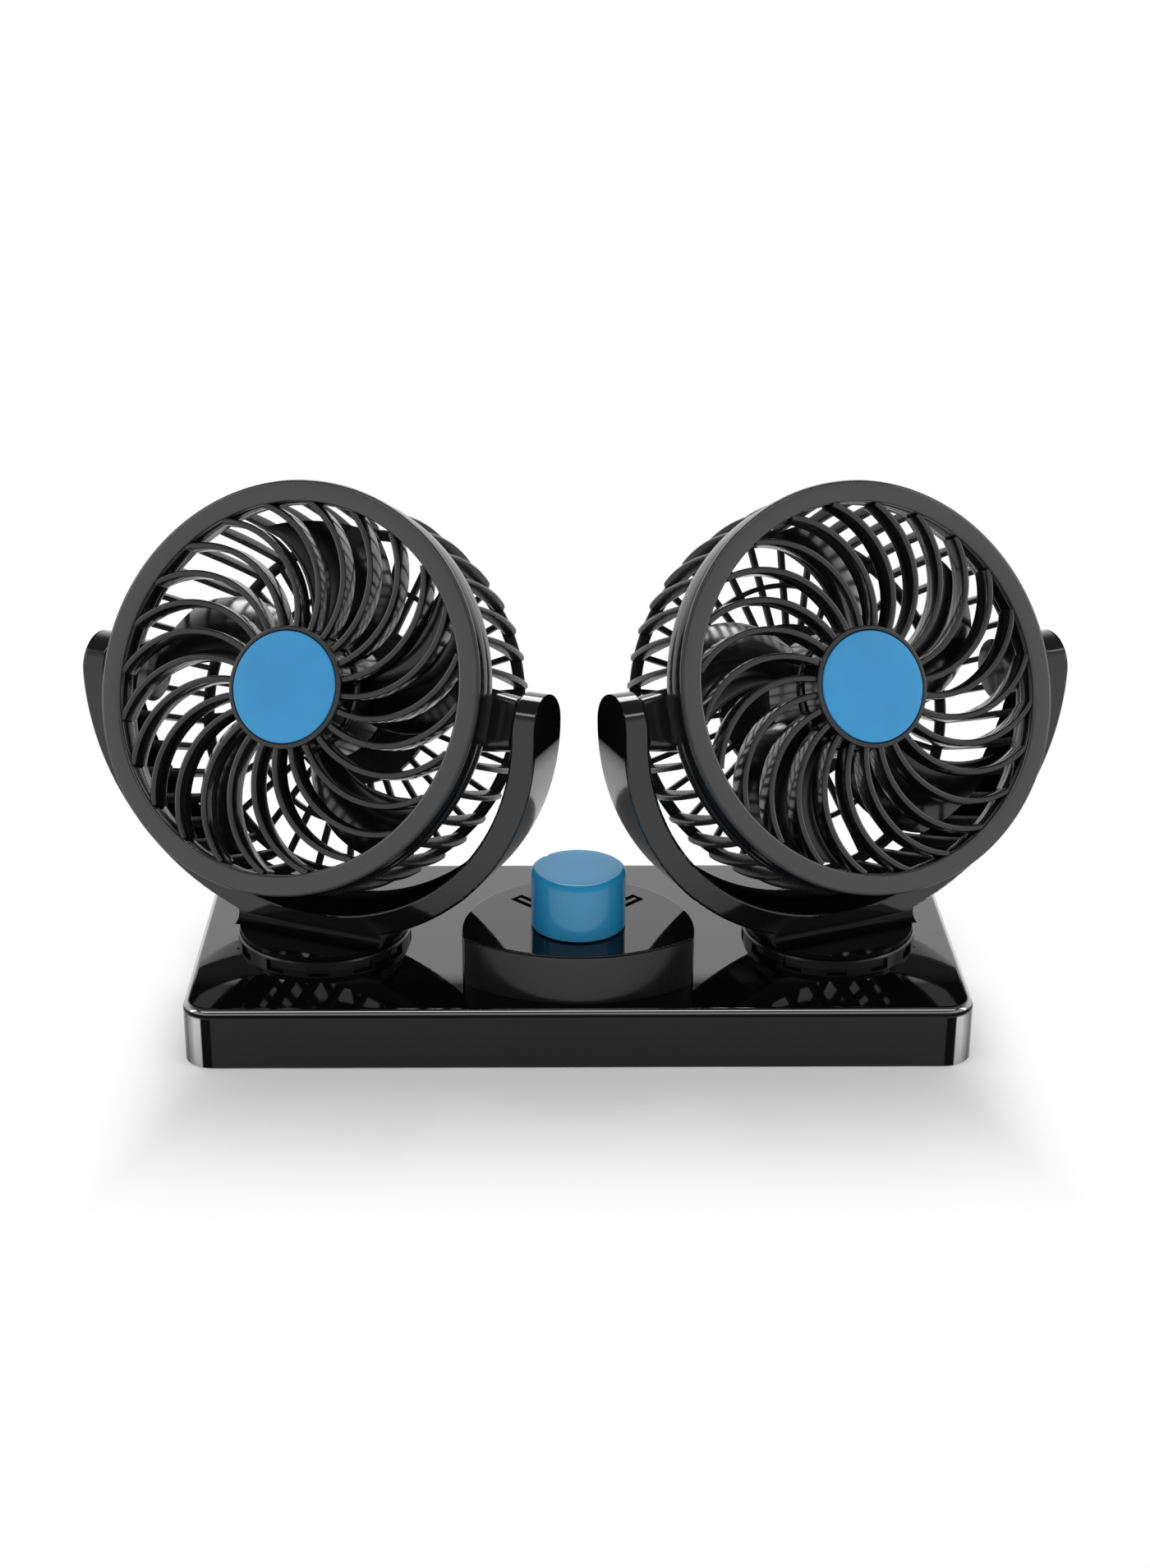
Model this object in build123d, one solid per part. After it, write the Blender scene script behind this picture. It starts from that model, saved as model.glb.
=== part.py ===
from build123d import *
import math
import os

# Dual head car fan: two caged axial fans on swivelling yokes over one flat base.
# Millimetres. The origin is the middle of the base's underside, +X to the right,
# -Y towards the user, +Z up. Each head is drawn about its own fan axis, +Z forward.

# Base housing, the low rounded box
base_length = 210.0
base_depth = 94.6
base_height = 17.0
base_corner = 8.0
base_edge = 2.0
base_wall = 2.2

# Cuts run this far past what they cut
overrun = 1.0

# Clearances
seat_gap = 0.1
running_gap = 0.05
press_gap = 0.02
body_gap = 0.3

# Bottom cover, feet and the screws that hold the cover
cover_thickness = 2.0
foot_radius = 6.5
foot_proud = 0.25
foot_sink = 1.0
foot_end_inset = 25.0
foot_side_inset = 16.3
boss_radius = 3.4
boss_end_inset = 9.5
boss_side_inset = 9.3
boss_middle_x = 39.0
screw_shank_radius = 1.2
screw_pilot_radius = 1.25
screw_through_radius = 1.6
screw_head_radius = 2.6
screw_head_height = 1.1
screw_bite = 8.0
housing_rib_x = 46.0
housing_rib_thickness = 1.4
housing_rib_height = 6.0

# Circuit board under the rear half of the housing
board_length = 60.0
board_width = 20.0
board_thickness = 1.4
board_rear_inset = 23.3
board_level = 7.0
board_corner = 1.5
post_radius = 2.4
post_inset = 4.0
capacitor_radius = 3.2
capacitor_height = 5.0
capacitor_x = 16.0
regulator_length = 9.0
regulator_width = 6.5
regulator_height = 2.2
regulator_x = -12.0
board_screw_radius = 0.9
board_screw_head_radius = 1.8
board_screw_head_height = 0.8

# Cable grommet in the rear wall
grommet_bore_radius = 2.0
grommet_groove_radius = 3.9
grommet_flange_radius = 5.2
grommet_flange_thickness = 1.4
grommet_height = 8.6

# Collars fixed over the swivel holes
collar_radius = 24.1
collar_thickness = 2.4
collar_edge = 0.4
collar_spigot_radius = 16.0
collar_notch_count = 12
collar_notch_width = 5.5
collar_notch_height = 1.6
collar_notch_sink = 1.0

# Yoke, a half round band round the head with rounded arm tops, on a flared foot
yoke_head_room = 5.9
yoke_apart = 5.4
yoke_foot_rise = 6.5
yoke_thickness = 7.0
yoke_depth = 18.0
yoke_edge = 0.8
flange_radius = 23.4
flange_thickness = 1.2
yoke_foot_half_length = 22.0
yoke_foot_flare = 2.6
yoke_foot_corner = 8.0
journal_radius = 12.0
journal_bore_radius = 8.5
wire_hole_radius = 3.0

# Wire channel at the back of the yoke and the strips that close it
channel_width = 3.4
channel_depth = 12.0
channel_end_angle = 82.0
strip_start_angle = 25.0
strip_thickness = 1.2
strip_lip = 0.5

# Swivel washer, retaining plate and its screws, under the collar
washer_thickness = 0.8
retainer_radius = 15.0
retainer_thickness = 2.0
retainer_screw_count = 3
retainer_screw_radius = 0.9
retainer_screw_bite = 5.0
retainer_head_radius = 1.7
retainer_head_height = 1.2

# Tilt pins and friction washers
pin_radius = 3.0
pin_reach = 4.5
pin_end_play = 0.5
pin_hold = 8.0
tilt_washer_radius = 5.2
tilt_washer_thickness = 0.9
tilt_washer_play = 0.4

# Rest pose: each yoke turned outward, each head tilted up
yaw_rest = 23.0
tilt_rest = 24.5

# Control pod on the base
pod_radius = 31.2
pod_setback = 18.3
pod_front_radius = 46.0
pod_front_inset = 3.5
pod_height = 14.0
pod_wall = 2.0
pod_edge = 0.5
fascia_thickness = 1.4
fascia_rim = 0.6
fascia_edge = 0.3
pod_boss_radius = 3.2
pod_boss_x = 20.0
pod_boss_setback = 17.8
pod_opening = 22.0
pod_opening_corner = 3.0
mark_width = 1.1
mark_length = 8.0
mark_start = 15.8
mark_pitch = 2.6
mark_sink = 0.5
mark_angle = 45.0

# Rotary switch with its nut and shaft
switch_setback = 20.4
switch_side = 15.0
switch_height = 8.0
switch_corner = 1.0
switch_bushing_radius = 3.5
switch_bushing_reach = 2.6
switch_shaft_radius = 2.0
switch_floor = 1.2
nut_radius = 5.0
nut_thickness = 1.8
terminal_width = 1.6
terminal_thickness = 0.6
terminal_length = 3.0
terminal_pitch = 4.6

# Knob
knob_radius = 12.7
knob_height = 16.2
knob_edge = 1.3
knob_wall = 1.8
knob_top_wall = 2.2
knob_boss_radius = 4.2
knob_boss_recess = 4.0
knob_shaft_grip = 9.0
knob_notch_width = 1.6
knob_notch_sink = 0.9

# Front ring, the flat trim, measured back from its front face
ring_forward = 19.0
ring_inner_radius = 49.25
ring_width = 5.65
ring_thickness = 2.2
ring_edge = 0.5

# Front grille
grille_inset = 0.3
grille_back = 7.3
grille_wall = 1.6
grille_rib_count = 24
grille_rib_thickness = 1.7
grille_rib_sink = 0.8
grille_rib_bend_angle = 93.1
grille_hub_radius = 16.3
grille_hub_wall = 1.4

# Hub cap
cap_radius = 14.8
cap_thickness = 1.6
cap_edge = 0.3
cap_proud = 0.3

# Rear cage
cage_rim_inset = 0.2
cage_rim_width = 4.0
cage_rim_back = 11.2
cage_lip_length = 2.6
cage_back = 48.5
cage_side_rib_count = 40
cage_side_rib_thickness = 1.6
cage_side_rib_inset = 0.4
cage_side_rib_lean = 3.3
cage_side_rib_bow = 1.6
cage_side_rib_front_height = 2.0
cage_side_rib_heel = 3.0
cage_rear_bar_count = 30
cage_rear_bar_width = 1.5
cage_rear_depth = 2.4
cage_corner_ring_inset = 3.5
cage_corner_ring_width = 3.2
cage_middle_ring_radius = 33.5
cage_middle_ring_width = 1.4
cage_plate_radius = 22.5
cage_boss_radius = 7.2
cage_boss_flare = 1.4
cage_boss_sink = 0.8
cage_pad_inset = 1.4
cage_pad_width = 12.4
cage_pad_hold = 1.3

# Motor in its sleeve, measured back from the ring's front face
motor_radius = 12.2
motor_front = 21.0
motor_nose_radius = 3.5
motor_nose_height = 1.5
motor_cap_thickness = 2.3
motor_edge = 1.0
sleeve_wall = 2.0
sleeve_front = 28.0
shaft_radius = 1.0
shaft_front = 11.4
shaft_back = 40.0

# Impeller
impeller_front = 9.6
impeller_back = 27.0
impeller_hub_radius = 17.0
impeller_hub_wall = 1.6
impeller_hub_edge = 1.6
impeller_boss_radius = 3.6
impeller_boss_length = 8.0
blade_count = 5
blade_tip_radius = 46.5
blade_root_radius = 16.2
blade_thickness = 1.6
blade_root_chord = 17.0
blade_middle_chord = 25.0
blade_tip_chord = 30.0
blade_root_pitch = 47.0
blade_middle_pitch = 33.0
blade_tip_pitch = 25.0
blade_camber_share = 0.08
blade_middle_lag = 8.7
blade_tip_lag = 26.0


# Levels that several pieces share
cover_top = foot_proud + cover_thickness
housing_roof = base_height - base_wall
collar_top = base_height + collar_thickness
flange_low = collar_top + body_gap
flange_top = flange_low + flange_thickness
washer_low = housing_roof - seat_gap - washer_thickness
retainer_low = washer_low - retainer_thickness
pod_top = base_height + pod_height
pod_roof = pod_top - pod_wall
knob_low = pod_top + body_gap
knob_top = knob_low + knob_height
switch_low = pod_roof - switch_height
bushing_top = pod_top + switch_bushing_reach
knob_boss_low = knob_low + knob_boss_recess
shaft_top = knob_boss_low + knob_shaft_grip

# Places that follow the base's outline
foot_x = base_length / 2 - foot_end_inset
foot_y = base_depth / 2 - foot_side_inset
boss_corner_x = base_length / 2 - boss_end_inset
boss_y = base_depth / 2 - boss_side_inset
board_y = base_depth / 2 - board_rear_inset
pod_front_y = pod_front_inset - base_depth / 2
pod_y = pod_front_y + pod_setback
pod_boss_y = pod_front_y + pod_boss_setback
switch_y = pod_front_y + switch_setback

# Radii and places that follow one another through the yoke and the head
ring_outer_radius = ring_inner_radius + ring_width
yoke_inner_radius = ring_outer_radius + yoke_head_room
yoke_outer_radius = yoke_inner_radius + yoke_thickness
yoke_middle_radius = yoke_inner_radius + yoke_thickness / 2
yoke_half_depth = yoke_depth / 2
journal_screw_radius = (journal_radius + journal_bore_radius) / 2
pivot_height = flange_top + yoke_foot_rise + yoke_inner_radius
axis_x = yoke_outer_radius + yoke_apart / 2
grille_outer_radius = ring_outer_radius - grille_inset
cage_rim_radius = grille_outer_radius - cage_rim_inset
cage_rim_inner_radius = cage_rim_radius - cage_rim_width
cage_lip_outer_radius = grille_outer_radius - grille_wall - 2 * seat_gap
cage_lip_inner_radius = ring_inner_radius + grille_wall + 2 * seat_gap
cage_side_rib_front_radius = cage_rim_radius - cage_side_rib_inset
cage_side_rib_back_radius = cage_side_rib_front_radius - cage_side_rib_lean
cage_corner_ring_outer = cage_side_rib_back_radius - cage_corner_ring_inset
cage_corner_ring_inner = cage_corner_ring_outer - cage_corner_ring_width
cage_boss_inner = cage_rim_inner_radius - cage_boss_sink
cage_boss_outer = yoke_inner_radius - tilt_washer_thickness - tilt_washer_play
cage_pad_radius = cage_rim_radius - cage_pad_inset


def disc(radius, low, high):
    """Round disc about Z between two heights."""
    return Pos(0, 0, low) * extrude(Circle(radius), high - low)


def ring(outer_radius, inner_radius, low, high):
    """Flat ring about Z between two heights."""
    return Pos(0, 0, low) * extrude(Circle(outer_radius) - Circle(inner_radius), high - low)


def rod(radius, start, end):
    """Round rod along X between two places on it."""
    return Rot(0, 90, 0) * disc(radius, start, end)


def level(depth):
    """Height on the fan axis of a place this far behind the ring's front face."""
    return ring_forward - depth


def both_sides(shape):
    """A shape and its copy turned half round about the fan axis or swivel axis."""
    return [shape, Rot(0, 0, 180) * shape]


def around(shape, count, first_angle=0):
    """Equal copies of a shape round Z."""
    return [Rot(0, 0, first_angle + 360 * i / count) * shape for i in range(count)]


def four_places(x, y):
    """The four corners of a rectangle about the origin."""
    return [(x, y), (-x, y), (x, -y), (-x, -y)]


# Base

screw_places = four_places(boss_corner_x, boss_y) + four_places(boss_middle_x, boss_y)
post_x = board_length / 2 - post_inset
post_y = board_width / 2 - post_inset
post_places = [(x, board_y + y) for x, y in four_places(post_x, post_y)]
pod_screw_places = [(pod_boss_x, pod_boss_y), (-pod_boss_x, pod_boss_y)]


def base_box(inset, low, high):
    """The base's rounded rectangle, drawn in by an inset."""
    outline = RectangleRounded(base_length - 2 * inset, base_depth - 2 * inset, base_corner - inset)
    return Pos(0, 0, low) * extrude(outline, high - low)


def make_base_housing():
    """Shell open below, with screw bosses, board posts and two stiffening ribs."""
    block = base_box(0, foot_proud, base_height)
    block = fillet(block.faces().sort_by(Axis.Z)[-1].edges(), base_edge)
    shell = block - base_box(base_wall, foot_proud, housing_roof)
    bosses = [Pos(x, y) * disc(boss_radius, cover_top, housing_roof) for x, y in screw_places]
    post = disc(post_radius, board_level + board_thickness, housing_roof)
    posts = [Pos(x, y) * post for x, y in post_places]
    rib_length = base_depth - 2 * base_wall
    rib = Pos(housing_rib_x, 0, housing_roof - housing_rib_height / 2)
    rib = rib * Box(housing_rib_thickness, rib_length, housing_rib_height)
    shell = shell + bosses + posts + both_sides(rib)
    pilot = disc(screw_pilot_radius, cover_top, cover_top + screw_bite + overrun)
    pilots = [Pos(x, y) * pilot for x, y in screw_places]
    post_low = board_level + board_thickness
    post_pilots = [Pos(x, y) * disc(board_screw_radius, post_low, housing_roof) for x, y in post_places]
    pod_holes = [Pos(x, y) * disc(screw_through_radius, housing_roof, base_height) for x, y in pod_screw_places]
    swivel_hole = disc(collar_spigot_radius + seat_gap, housing_roof, base_height)
    swivel_holes = [Pos(side * axis_x, 0) * swivel_hole for side in (-1, 1)]
    opening = RectangleRounded(pod_opening, pod_opening, pod_opening_corner)
    opening = Pos(0, pod_y, housing_roof) * extrude(opening, base_wall)
    cable_hole = Rot(-90, 0, 0) * disc(grommet_groove_radius + seat_gap, 0, base_wall + overrun)
    cable_hole = Pos(0, base_depth / 2 - base_wall, grommet_height) * cable_hole
    return shell - pilots - post_pilots - pod_holes - swivel_holes - [opening, cable_hole]


def make_base_cover():
    """Plate inside the housing's rim, with sunk screw heads and foot recesses."""
    plate = base_box(base_wall + seat_gap, foot_proud, cover_top)
    sink = foot_proud + screw_head_height
    through = [Pos(x, y) * disc(screw_through_radius, foot_proud, cover_top) for x, y in screw_places]
    heads = [Pos(x, y) * disc(screw_head_radius + body_gap, foot_proud, sink) for x, y in screw_places]
    recess = disc(foot_radius + seat_gap, foot_proud, foot_proud + foot_sink)
    recesses = [Pos(x, y) * recess for x, y in four_places(foot_x, foot_y)]
    return plate - through - heads - recesses


def make_base_feet():
    """Four rubber feet seated in the cover's recesses."""
    foot = disc(foot_radius, 0, foot_proud + foot_sink)
    foot = chamfer(foot.faces().sort_by(Axis.Z)[0].edges(), foot_proud / 2)
    return Part() + [Pos(x, y) * foot for x, y in four_places(foot_x, foot_y)]


def make_screw(shank_radius, shank_low, bite, head_radius, head_height):
    """Flat headed screw pointing up, its head just under the given level."""
    shank = disc(shank_radius, shank_low, shank_low + bite)
    head = disc(head_radius, shank_low - head_height, shank_low)
    return shank + head


def make_base_screws():
    """Eight screws from below through the cover into the housing's bosses."""
    seat = foot_proud + screw_head_height
    reach = cover_top - seat + screw_bite
    screw = make_screw(screw_shank_radius, seat, reach, screw_head_radius, screw_head_height - seat_gap)
    return Part() + [Pos(x, y) * screw for x, y in screw_places]


def make_circuit_board():
    """Board with an upright capacitor and a flat regulator on its upper face."""
    board = RectangleRounded(board_length, board_width, board_corner)
    board = Pos(0, board_y, board_level) * extrude(board, board_thickness)
    top = board_level + board_thickness
    holes = [Pos(x, y) * disc(board_screw_radius + running_gap, board_level, top) for x, y in post_places]
    capacitor = Pos(capacitor_x, board_y) * disc(capacitor_radius, top, top + capacitor_height)
    regulator = Box(regulator_length, regulator_width, regulator_height)
    regulator = Pos(regulator_x, board_y, top + regulator_height / 2) * regulator
    return board - holes + [capacitor, regulator]


def make_board_screws():
    """Four small screws that hold the board against the posts."""
    head_seat = board_level
    bite = board_thickness + (housing_roof - board_level - board_thickness) / 2
    screw = make_screw(board_screw_radius, head_seat, bite, board_screw_head_radius, board_screw_head_height)
    return Part() + [Pos(x, y) * screw for x, y in post_places]


def make_cable_grommet():
    """Rubber grommet whose groove grips the edge of the hole in the rear wall."""
    inner_flange = disc(grommet_flange_radius, -grommet_flange_thickness, 0)
    waist = disc(grommet_groove_radius, 0, base_wall)
    outer_flange = disc(grommet_flange_radius, base_wall, base_wall + grommet_flange_thickness)
    outer_flange = chamfer(outer_flange.faces().sort_by(Axis.Z)[-1].edges(), grommet_flange_thickness / 2)
    bore = disc(grommet_bore_radius, -grommet_flange_thickness, base_wall + grommet_flange_thickness)
    grommet = inner_flange + waist + outer_flange - bore
    return Pos(0, base_depth / 2 - base_wall, grommet_height) * Rot(-90, 0, 0) * grommet


def make_collar():
    """Fixed collar: a disc with notches round its foot and a spigot in the housing."""
    plate = disc(collar_radius, base_height, collar_top)
    plate = chamfer(plate.faces().sort_by(Axis.Z)[-1].edges(), collar_edge)
    notch = Box(2 * collar_notch_sink, collar_notch_width, 2 * collar_notch_height)
    notches = around(Pos(collar_radius, 0, base_height) * notch, collar_notch_count)
    spigot = disc(collar_spigot_radius, housing_roof, base_height)
    bore = disc(journal_radius + running_gap, housing_roof, collar_top)
    return plate - notches + spigot - bore


# Control pod, switch and knob

def pod_block(inset, high):
    """Round block cut off by the flatter front arc, both drawn in by an inset."""
    front = Pos(0, pod_front_y + pod_front_radius) * disc(pod_front_radius - inset, base_height, high)
    return Pos(0, pod_y) * disc(pod_radius - inset, base_height, high) & front


def fascia_shape(gap):
    """Curved panel across the pod's whole front; the gap widens it into its own recess."""
    panel = Circle(pod_front_radius + gap) - Circle(pod_front_radius - fascia_thickness - gap)
    low = base_height + seat_gap - gap
    high = pod_top - fascia_rim + gap
    panel = Pos(0, pod_front_y + pod_front_radius, low) * extrude(panel, high - low)
    return panel & pod_block(-gap, pod_top)


def mark_outline():
    """Plan of one position mark: two bars joined at their outer end."""
    whole = Rectangle(mark_length, mark_pitch + mark_width)
    middle = Pos(-mark_width, 0) * Rectangle(mark_length, mark_pitch - mark_width)
    return Pos(mark_start + mark_length / 2, 0) * (whole - middle)


def make_pod_body():
    """Hollow pod with a glossy roof, screw bosses, a recessed front and mark grooves."""
    body = pod_block(0, pod_top)
    body = fillet(body.faces().sort_by(Axis.Z)[-1].edges(), pod_edge)
    body = body - pod_block(pod_wall, pod_roof)
    backing = fascia_thickness + pod_wall
    wall = Circle(pod_front_radius - pod_edge) - Circle(pod_front_radius - backing)
    wall = Pos(0, pod_front_y + pod_front_radius, base_height) * extrude(wall, pod_height - pod_edge)
    body = body + (wall & pod_block(pod_edge, pod_top))
    bosses = [Pos(x, y) * disc(pod_boss_radius, base_height, pod_roof) for x, y in pod_screw_places]
    body = body + bosses
    pilot = disc(screw_pilot_radius, base_height, pod_roof - pod_wall)
    pilots = [Pos(x, y) * pilot for x, y in pod_screw_places]
    bushing_hole = Pos(0, switch_y) * disc(switch_bushing_radius + seat_gap, pod_roof, pod_top)
    mark = Pos(0, 0, pod_top - mark_sink) * extrude(mark_outline(), mark_sink + overrun)
    marks = [Pos(0, switch_y) * Rot(0, 0, 90 + side * mark_angle) * mark for side in (-1, 1)]
    return body - fascia_shape(seat_gap) - pilots - [bushing_hole] - marks


def make_pod_fascia():
    """Matt crescent panel in the pod's front, its two upright front edges eased."""
    panel = fascia_shape(0)
    corners = panel.edges().filter_by(Axis.Z).sort_by(Axis.Y)
    return fillet(corners[:2], fascia_edge)


def make_pod_screws():
    """Two screws from inside the housing up into the pod's bosses."""
    bite = base_wall + pod_height / 2
    screw = make_screw(screw_shank_radius, housing_roof, bite, screw_head_radius, screw_head_height)
    return Part() + [Pos(x, y) * screw for x, y in pod_screw_places]


def make_rotary_switch():
    """Switch body under the pod's roof, its bushing through the roof, three terminals."""
    body = RectangleRounded(switch_side, switch_side, switch_corner)
    body = Pos(0, 0, switch_low) * extrude(body, switch_height)
    bushing = disc(switch_bushing_radius, pod_roof, bushing_top)
    terminal = Pos(0, 0, switch_low - terminal_length / 2)
    terminal = terminal * Box(terminal_width, terminal_thickness, terminal_length)
    terminals = [Pos(i * terminal_pitch, 0) * terminal for i in (-1, 0, 1)]
    bore = disc(switch_shaft_radius + running_gap, switch_low + switch_floor, bushing_top)
    return Pos(0, switch_y) * (body + bushing + terminals - bore)


def make_switch_nut():
    """Hexagon nut that clamps the bushing to the roof, inside the knob."""
    nut = RegularPolygon(nut_radius, 6) - Circle(switch_bushing_radius + press_gap)
    return Pos(0, switch_y, pod_top) * extrude(nut, nut_thickness)


def make_switch_shaft():
    """Shaft from the switch up into the knob's boss."""
    return Pos(0, switch_y) * disc(switch_shaft_radius, switch_low + switch_floor + body_gap, shaft_top)


def make_knob():
    """Hollow knob with a boss on the shaft and a pointer notch down its side."""
    body = disc(knob_radius, knob_low, knob_top)
    body = fillet(body.faces().sort_by(Axis.Z)[-1].edges(), knob_edge)
    body = body - ring(knob_radius - knob_wall, knob_boss_radius, knob_low, knob_top - knob_top_wall)
    body = body - disc(knob_boss_radius, knob_low, knob_boss_low)
    body = body - disc(switch_shaft_radius + press_gap, knob_boss_low, shaft_top + press_gap)
    notch = Box(2 * knob_notch_sink, knob_notch_width, 2 * knob_height)
    notch = Rot(0, 0, 90 + mark_angle) * Pos(knob_radius, 0, knob_top) * notch
    return Pos(0, switch_y) * (body - notch)


# Yoke, drawn about its swivel axis, facing -Y

def band_sector(outer_radius, inner_radius, front, back, start_angle, end_angle):
    """Part of a band about the tilt pivot's level, between two angles from straight down."""
    section = Rectangle(outer_radius - inner_radius, back - front)
    section = Pos((outer_radius + inner_radius) / 2, (front + back) / 2) * section
    turned = Rot(0, 90 - end_angle, 0) * section
    sector = revolve(turned, Axis.Y, end_angle - start_angle)
    return Pos(0, 0, pivot_height) * sector


def yoke_band():
    """Half round band whose two ends run out in half round arm tops, all edges eased."""
    section = Pos(yoke_middle_radius, 0) * RectangleRounded(yoke_thickness, yoke_depth, yoke_edge)
    half = section & Pos(yoke_middle_radius, yoke_half_depth) * Rectangle(yoke_thickness, yoke_depth)
    arm_top = revolve(half, Axis.X, 180)
    return Pos(0, 0, pivot_height) * (revolve(section, Axis.Y, 180) + both_sides(arm_top))


def foot_profile():
    """Section of the foot across the band: upright sides that sweep out to the flange."""
    high = pivot_height - yoke_inner_radius
    flare = yoke_foot_flare
    right = CenterArc((yoke_half_depth + flare, flange_top + flare), flare, 180, 90)
    left = CenterArc((-yoke_half_depth - flare, flange_top + flare), flare, 270, 90)
    top = Polyline(right @ 0, (yoke_half_depth, high), (-yoke_half_depth, high), left @ 1)
    return make_face([right, left, Line(right @ 1, left @ 0)] + list(top.edges()))


def yoke_foot():
    """Flared block that fills the room between the band and the flange."""
    block = extrude(Plane.YZ * foot_profile(), yoke_foot_half_length, both=True)
    half_width = yoke_half_depth + yoke_foot_flare
    plan = RectangleRounded(2 * yoke_foot_half_length, 2 * half_width, yoke_foot_corner)
    block = block & extrude(plan, pivot_height)
    inside = rod(yoke_inner_radius, -yoke_depth, yoke_depth)
    return block - Pos(0, 0, pivot_height) * Rot(0, 0, 90) * inside


def make_yoke():
    """Band on a flared foot, a flange and a hollow journal, with the wire channel cut out."""
    below = Pos(0, 0, flange_low - yoke_half_depth) * Box(yoke_outer_radius, yoke_depth, yoke_depth)
    flange = disc(flange_radius, flange_low, flange_top)
    journal = disc(journal_radius, washer_low, flange_low)
    yoke = yoke_band() + yoke_foot() - below + flange + journal
    yoke = yoke - disc(journal_bore_radius, washer_low, flange_low)
    wire_y = yoke_half_depth - channel_depth / 2
    wire_hole = Pos(0, wire_y) * disc(wire_hole_radius, flange_low, pivot_height - yoke_middle_radius)
    half_channel = channel_width / 2
    outside = yoke_middle_radius + half_channel
    inside = yoke_middle_radius - half_channel
    channel = band_sector(outside, inside, yoke_half_depth - channel_depth, yoke_half_depth,
                          -channel_end_angle, channel_end_angle)
    rebate = strip_shape(seat_gap, strip_thickness + seat_gap)
    bore_end = yoke_inner_radius + pin_reach + pin_end_play
    bore = rod(pin_radius + running_gap, yoke_inner_radius - overrun, bore_end)
    bores = [Pos(0, 0, pivot_height) * hole for hole in both_sides(bore)]
    pilot = disc(retainer_screw_radius + press_gap, washer_low, washer_low + retainer_screw_bite + overrun)
    pilots = around(Pos(journal_screw_radius, 0) * pilot, retainer_screw_count, 90)
    return yoke - wire_hole - channel - rebate - bores - pilots


def strip_shape(gap, depth):
    """One closing strip on each arm, or its recess when the gap is not zero."""
    half = channel_width / 2 + strip_lip + gap
    end_angle = channel_end_angle + math.degrees((strip_lip + gap) / yoke_middle_radius)
    start_angle = strip_start_angle - math.degrees(gap / yoke_middle_radius)
    floor = yoke_half_depth - strip_thickness - seat_gap
    strip = band_sector(yoke_middle_radius + half, yoke_middle_radius - half,
                        floor, floor + depth, start_angle, end_angle)
    return both_sides_mirrored(strip)


def both_sides_mirrored(shape):
    """A shape and its mirror image in the yoke's middle plane."""
    return [shape, mirror(shape, Plane.YZ)]


def make_yoke_strips():
    """The two strips that close the wire channel."""
    return Part() + strip_shape(0, strip_thickness)


def make_swivel_washer():
    """Washer round the journal, under the collar."""
    return ring(retainer_radius, journal_radius + seat_gap, washer_low, washer_low + washer_thickness)


def make_retainer():
    """Plate screwed under the journal, which keeps the yoke on its collar."""
    plate = ring(retainer_radius, journal_bore_radius, retainer_low, washer_low)
    hole = Pos(journal_screw_radius, 0) * disc(retainer_screw_radius + running_gap, retainer_low, washer_low)
    return plate - around(hole, retainer_screw_count, 90)


def make_retainer_screws():
    """Screws through the plate into the journal's wall."""
    bite = retainer_thickness + retainer_screw_bite
    screw = make_screw(retainer_screw_radius, retainer_low, bite, retainer_head_radius, retainer_head_height)
    return Part() + around(Pos(journal_screw_radius, 0) * screw, retainer_screw_count, 90)


# Head, drawn about its fan axis, facing +Z, with its tilt axis along X

def make_front_ring():
    """Flat trim ring with an eased front edge."""
    trim = ring(ring_outer_radius, ring_inner_radius, level(ring_thickness), level(0))
    trim = chamfer(trim.faces().sort_by(Axis.Z)[-1].edges(), ring_edge)
    return trim


def rib_outline():
    """Plan of one grille rib: an arc that leaves the hub square and meets the rim after its whole bend."""
    half = grille_rib_thickness / 2
    hub = grille_hub_radius
    bend = math.radians(grille_rib_bend_angle)
    # the arc's centre lies beside the hub; its end lies on the rim for one radius only
    chord_share = 2 - 2 * math.cos(bend)
    hub_share = hub * math.sin(bend)
    room = ring_inner_radius ** 2 - hub ** 2
    curve = (math.sqrt(hub_share ** 2 + chord_share * room) - hub_share) / chord_share
    extra = math.degrees(grille_hub_wall / curve)
    start = -90 - extra
    size = grille_rib_bend_angle + 2 * extra
    outer = CenterArc((hub, curve), curve + half, start, size)
    inner = CenterArc((hub, curve), curve - half, start, size)
    ends = [Line(outer @ 0, inner @ 0), Line(outer @ 1, inner @ 1)]
    return make_face([outer, inner] + ends)


def make_front_grille():
    """Hollow frame, curved ribs and a hub cup that takes the cap."""
    frame = ring(grille_outer_radius, ring_inner_radius, level(grille_back), level(ring_thickness))
    groove = ring(grille_outer_radius - grille_wall, ring_inner_radius + grille_wall,
                  level(grille_back), level(ring_thickness + grille_wall))
    frame = frame - groove
    plan = Sketch() + around(rib_outline(), grille_rib_count)
    hub_inside = Circle(grille_hub_radius - grille_hub_wall / 2)
    plan = plan & (Circle(ring_inner_radius + grille_wall / 2) - hub_inside)
    ribs = Pos(0, 0, level(grille_back)) * extrude(plan, grille_back - grille_rib_sink)
    trim_room = ring(grille_outer_radius, ring_inner_radius - seat_gap, level(ring_thickness), level(0))
    ribs = ribs - trim_room
    hub = disc(grille_hub_radius, level(grille_back), level(0))
    hub = hub - disc(cap_radius + seat_gap, level(cap_thickness - cap_proud), level(0))
    hollow_top = level(cap_thickness - cap_proud + grille_hub_wall)
    hub = hub - disc(grille_hub_radius - grille_hub_wall, level(grille_back), hollow_top)
    return frame + ribs + hub


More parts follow.
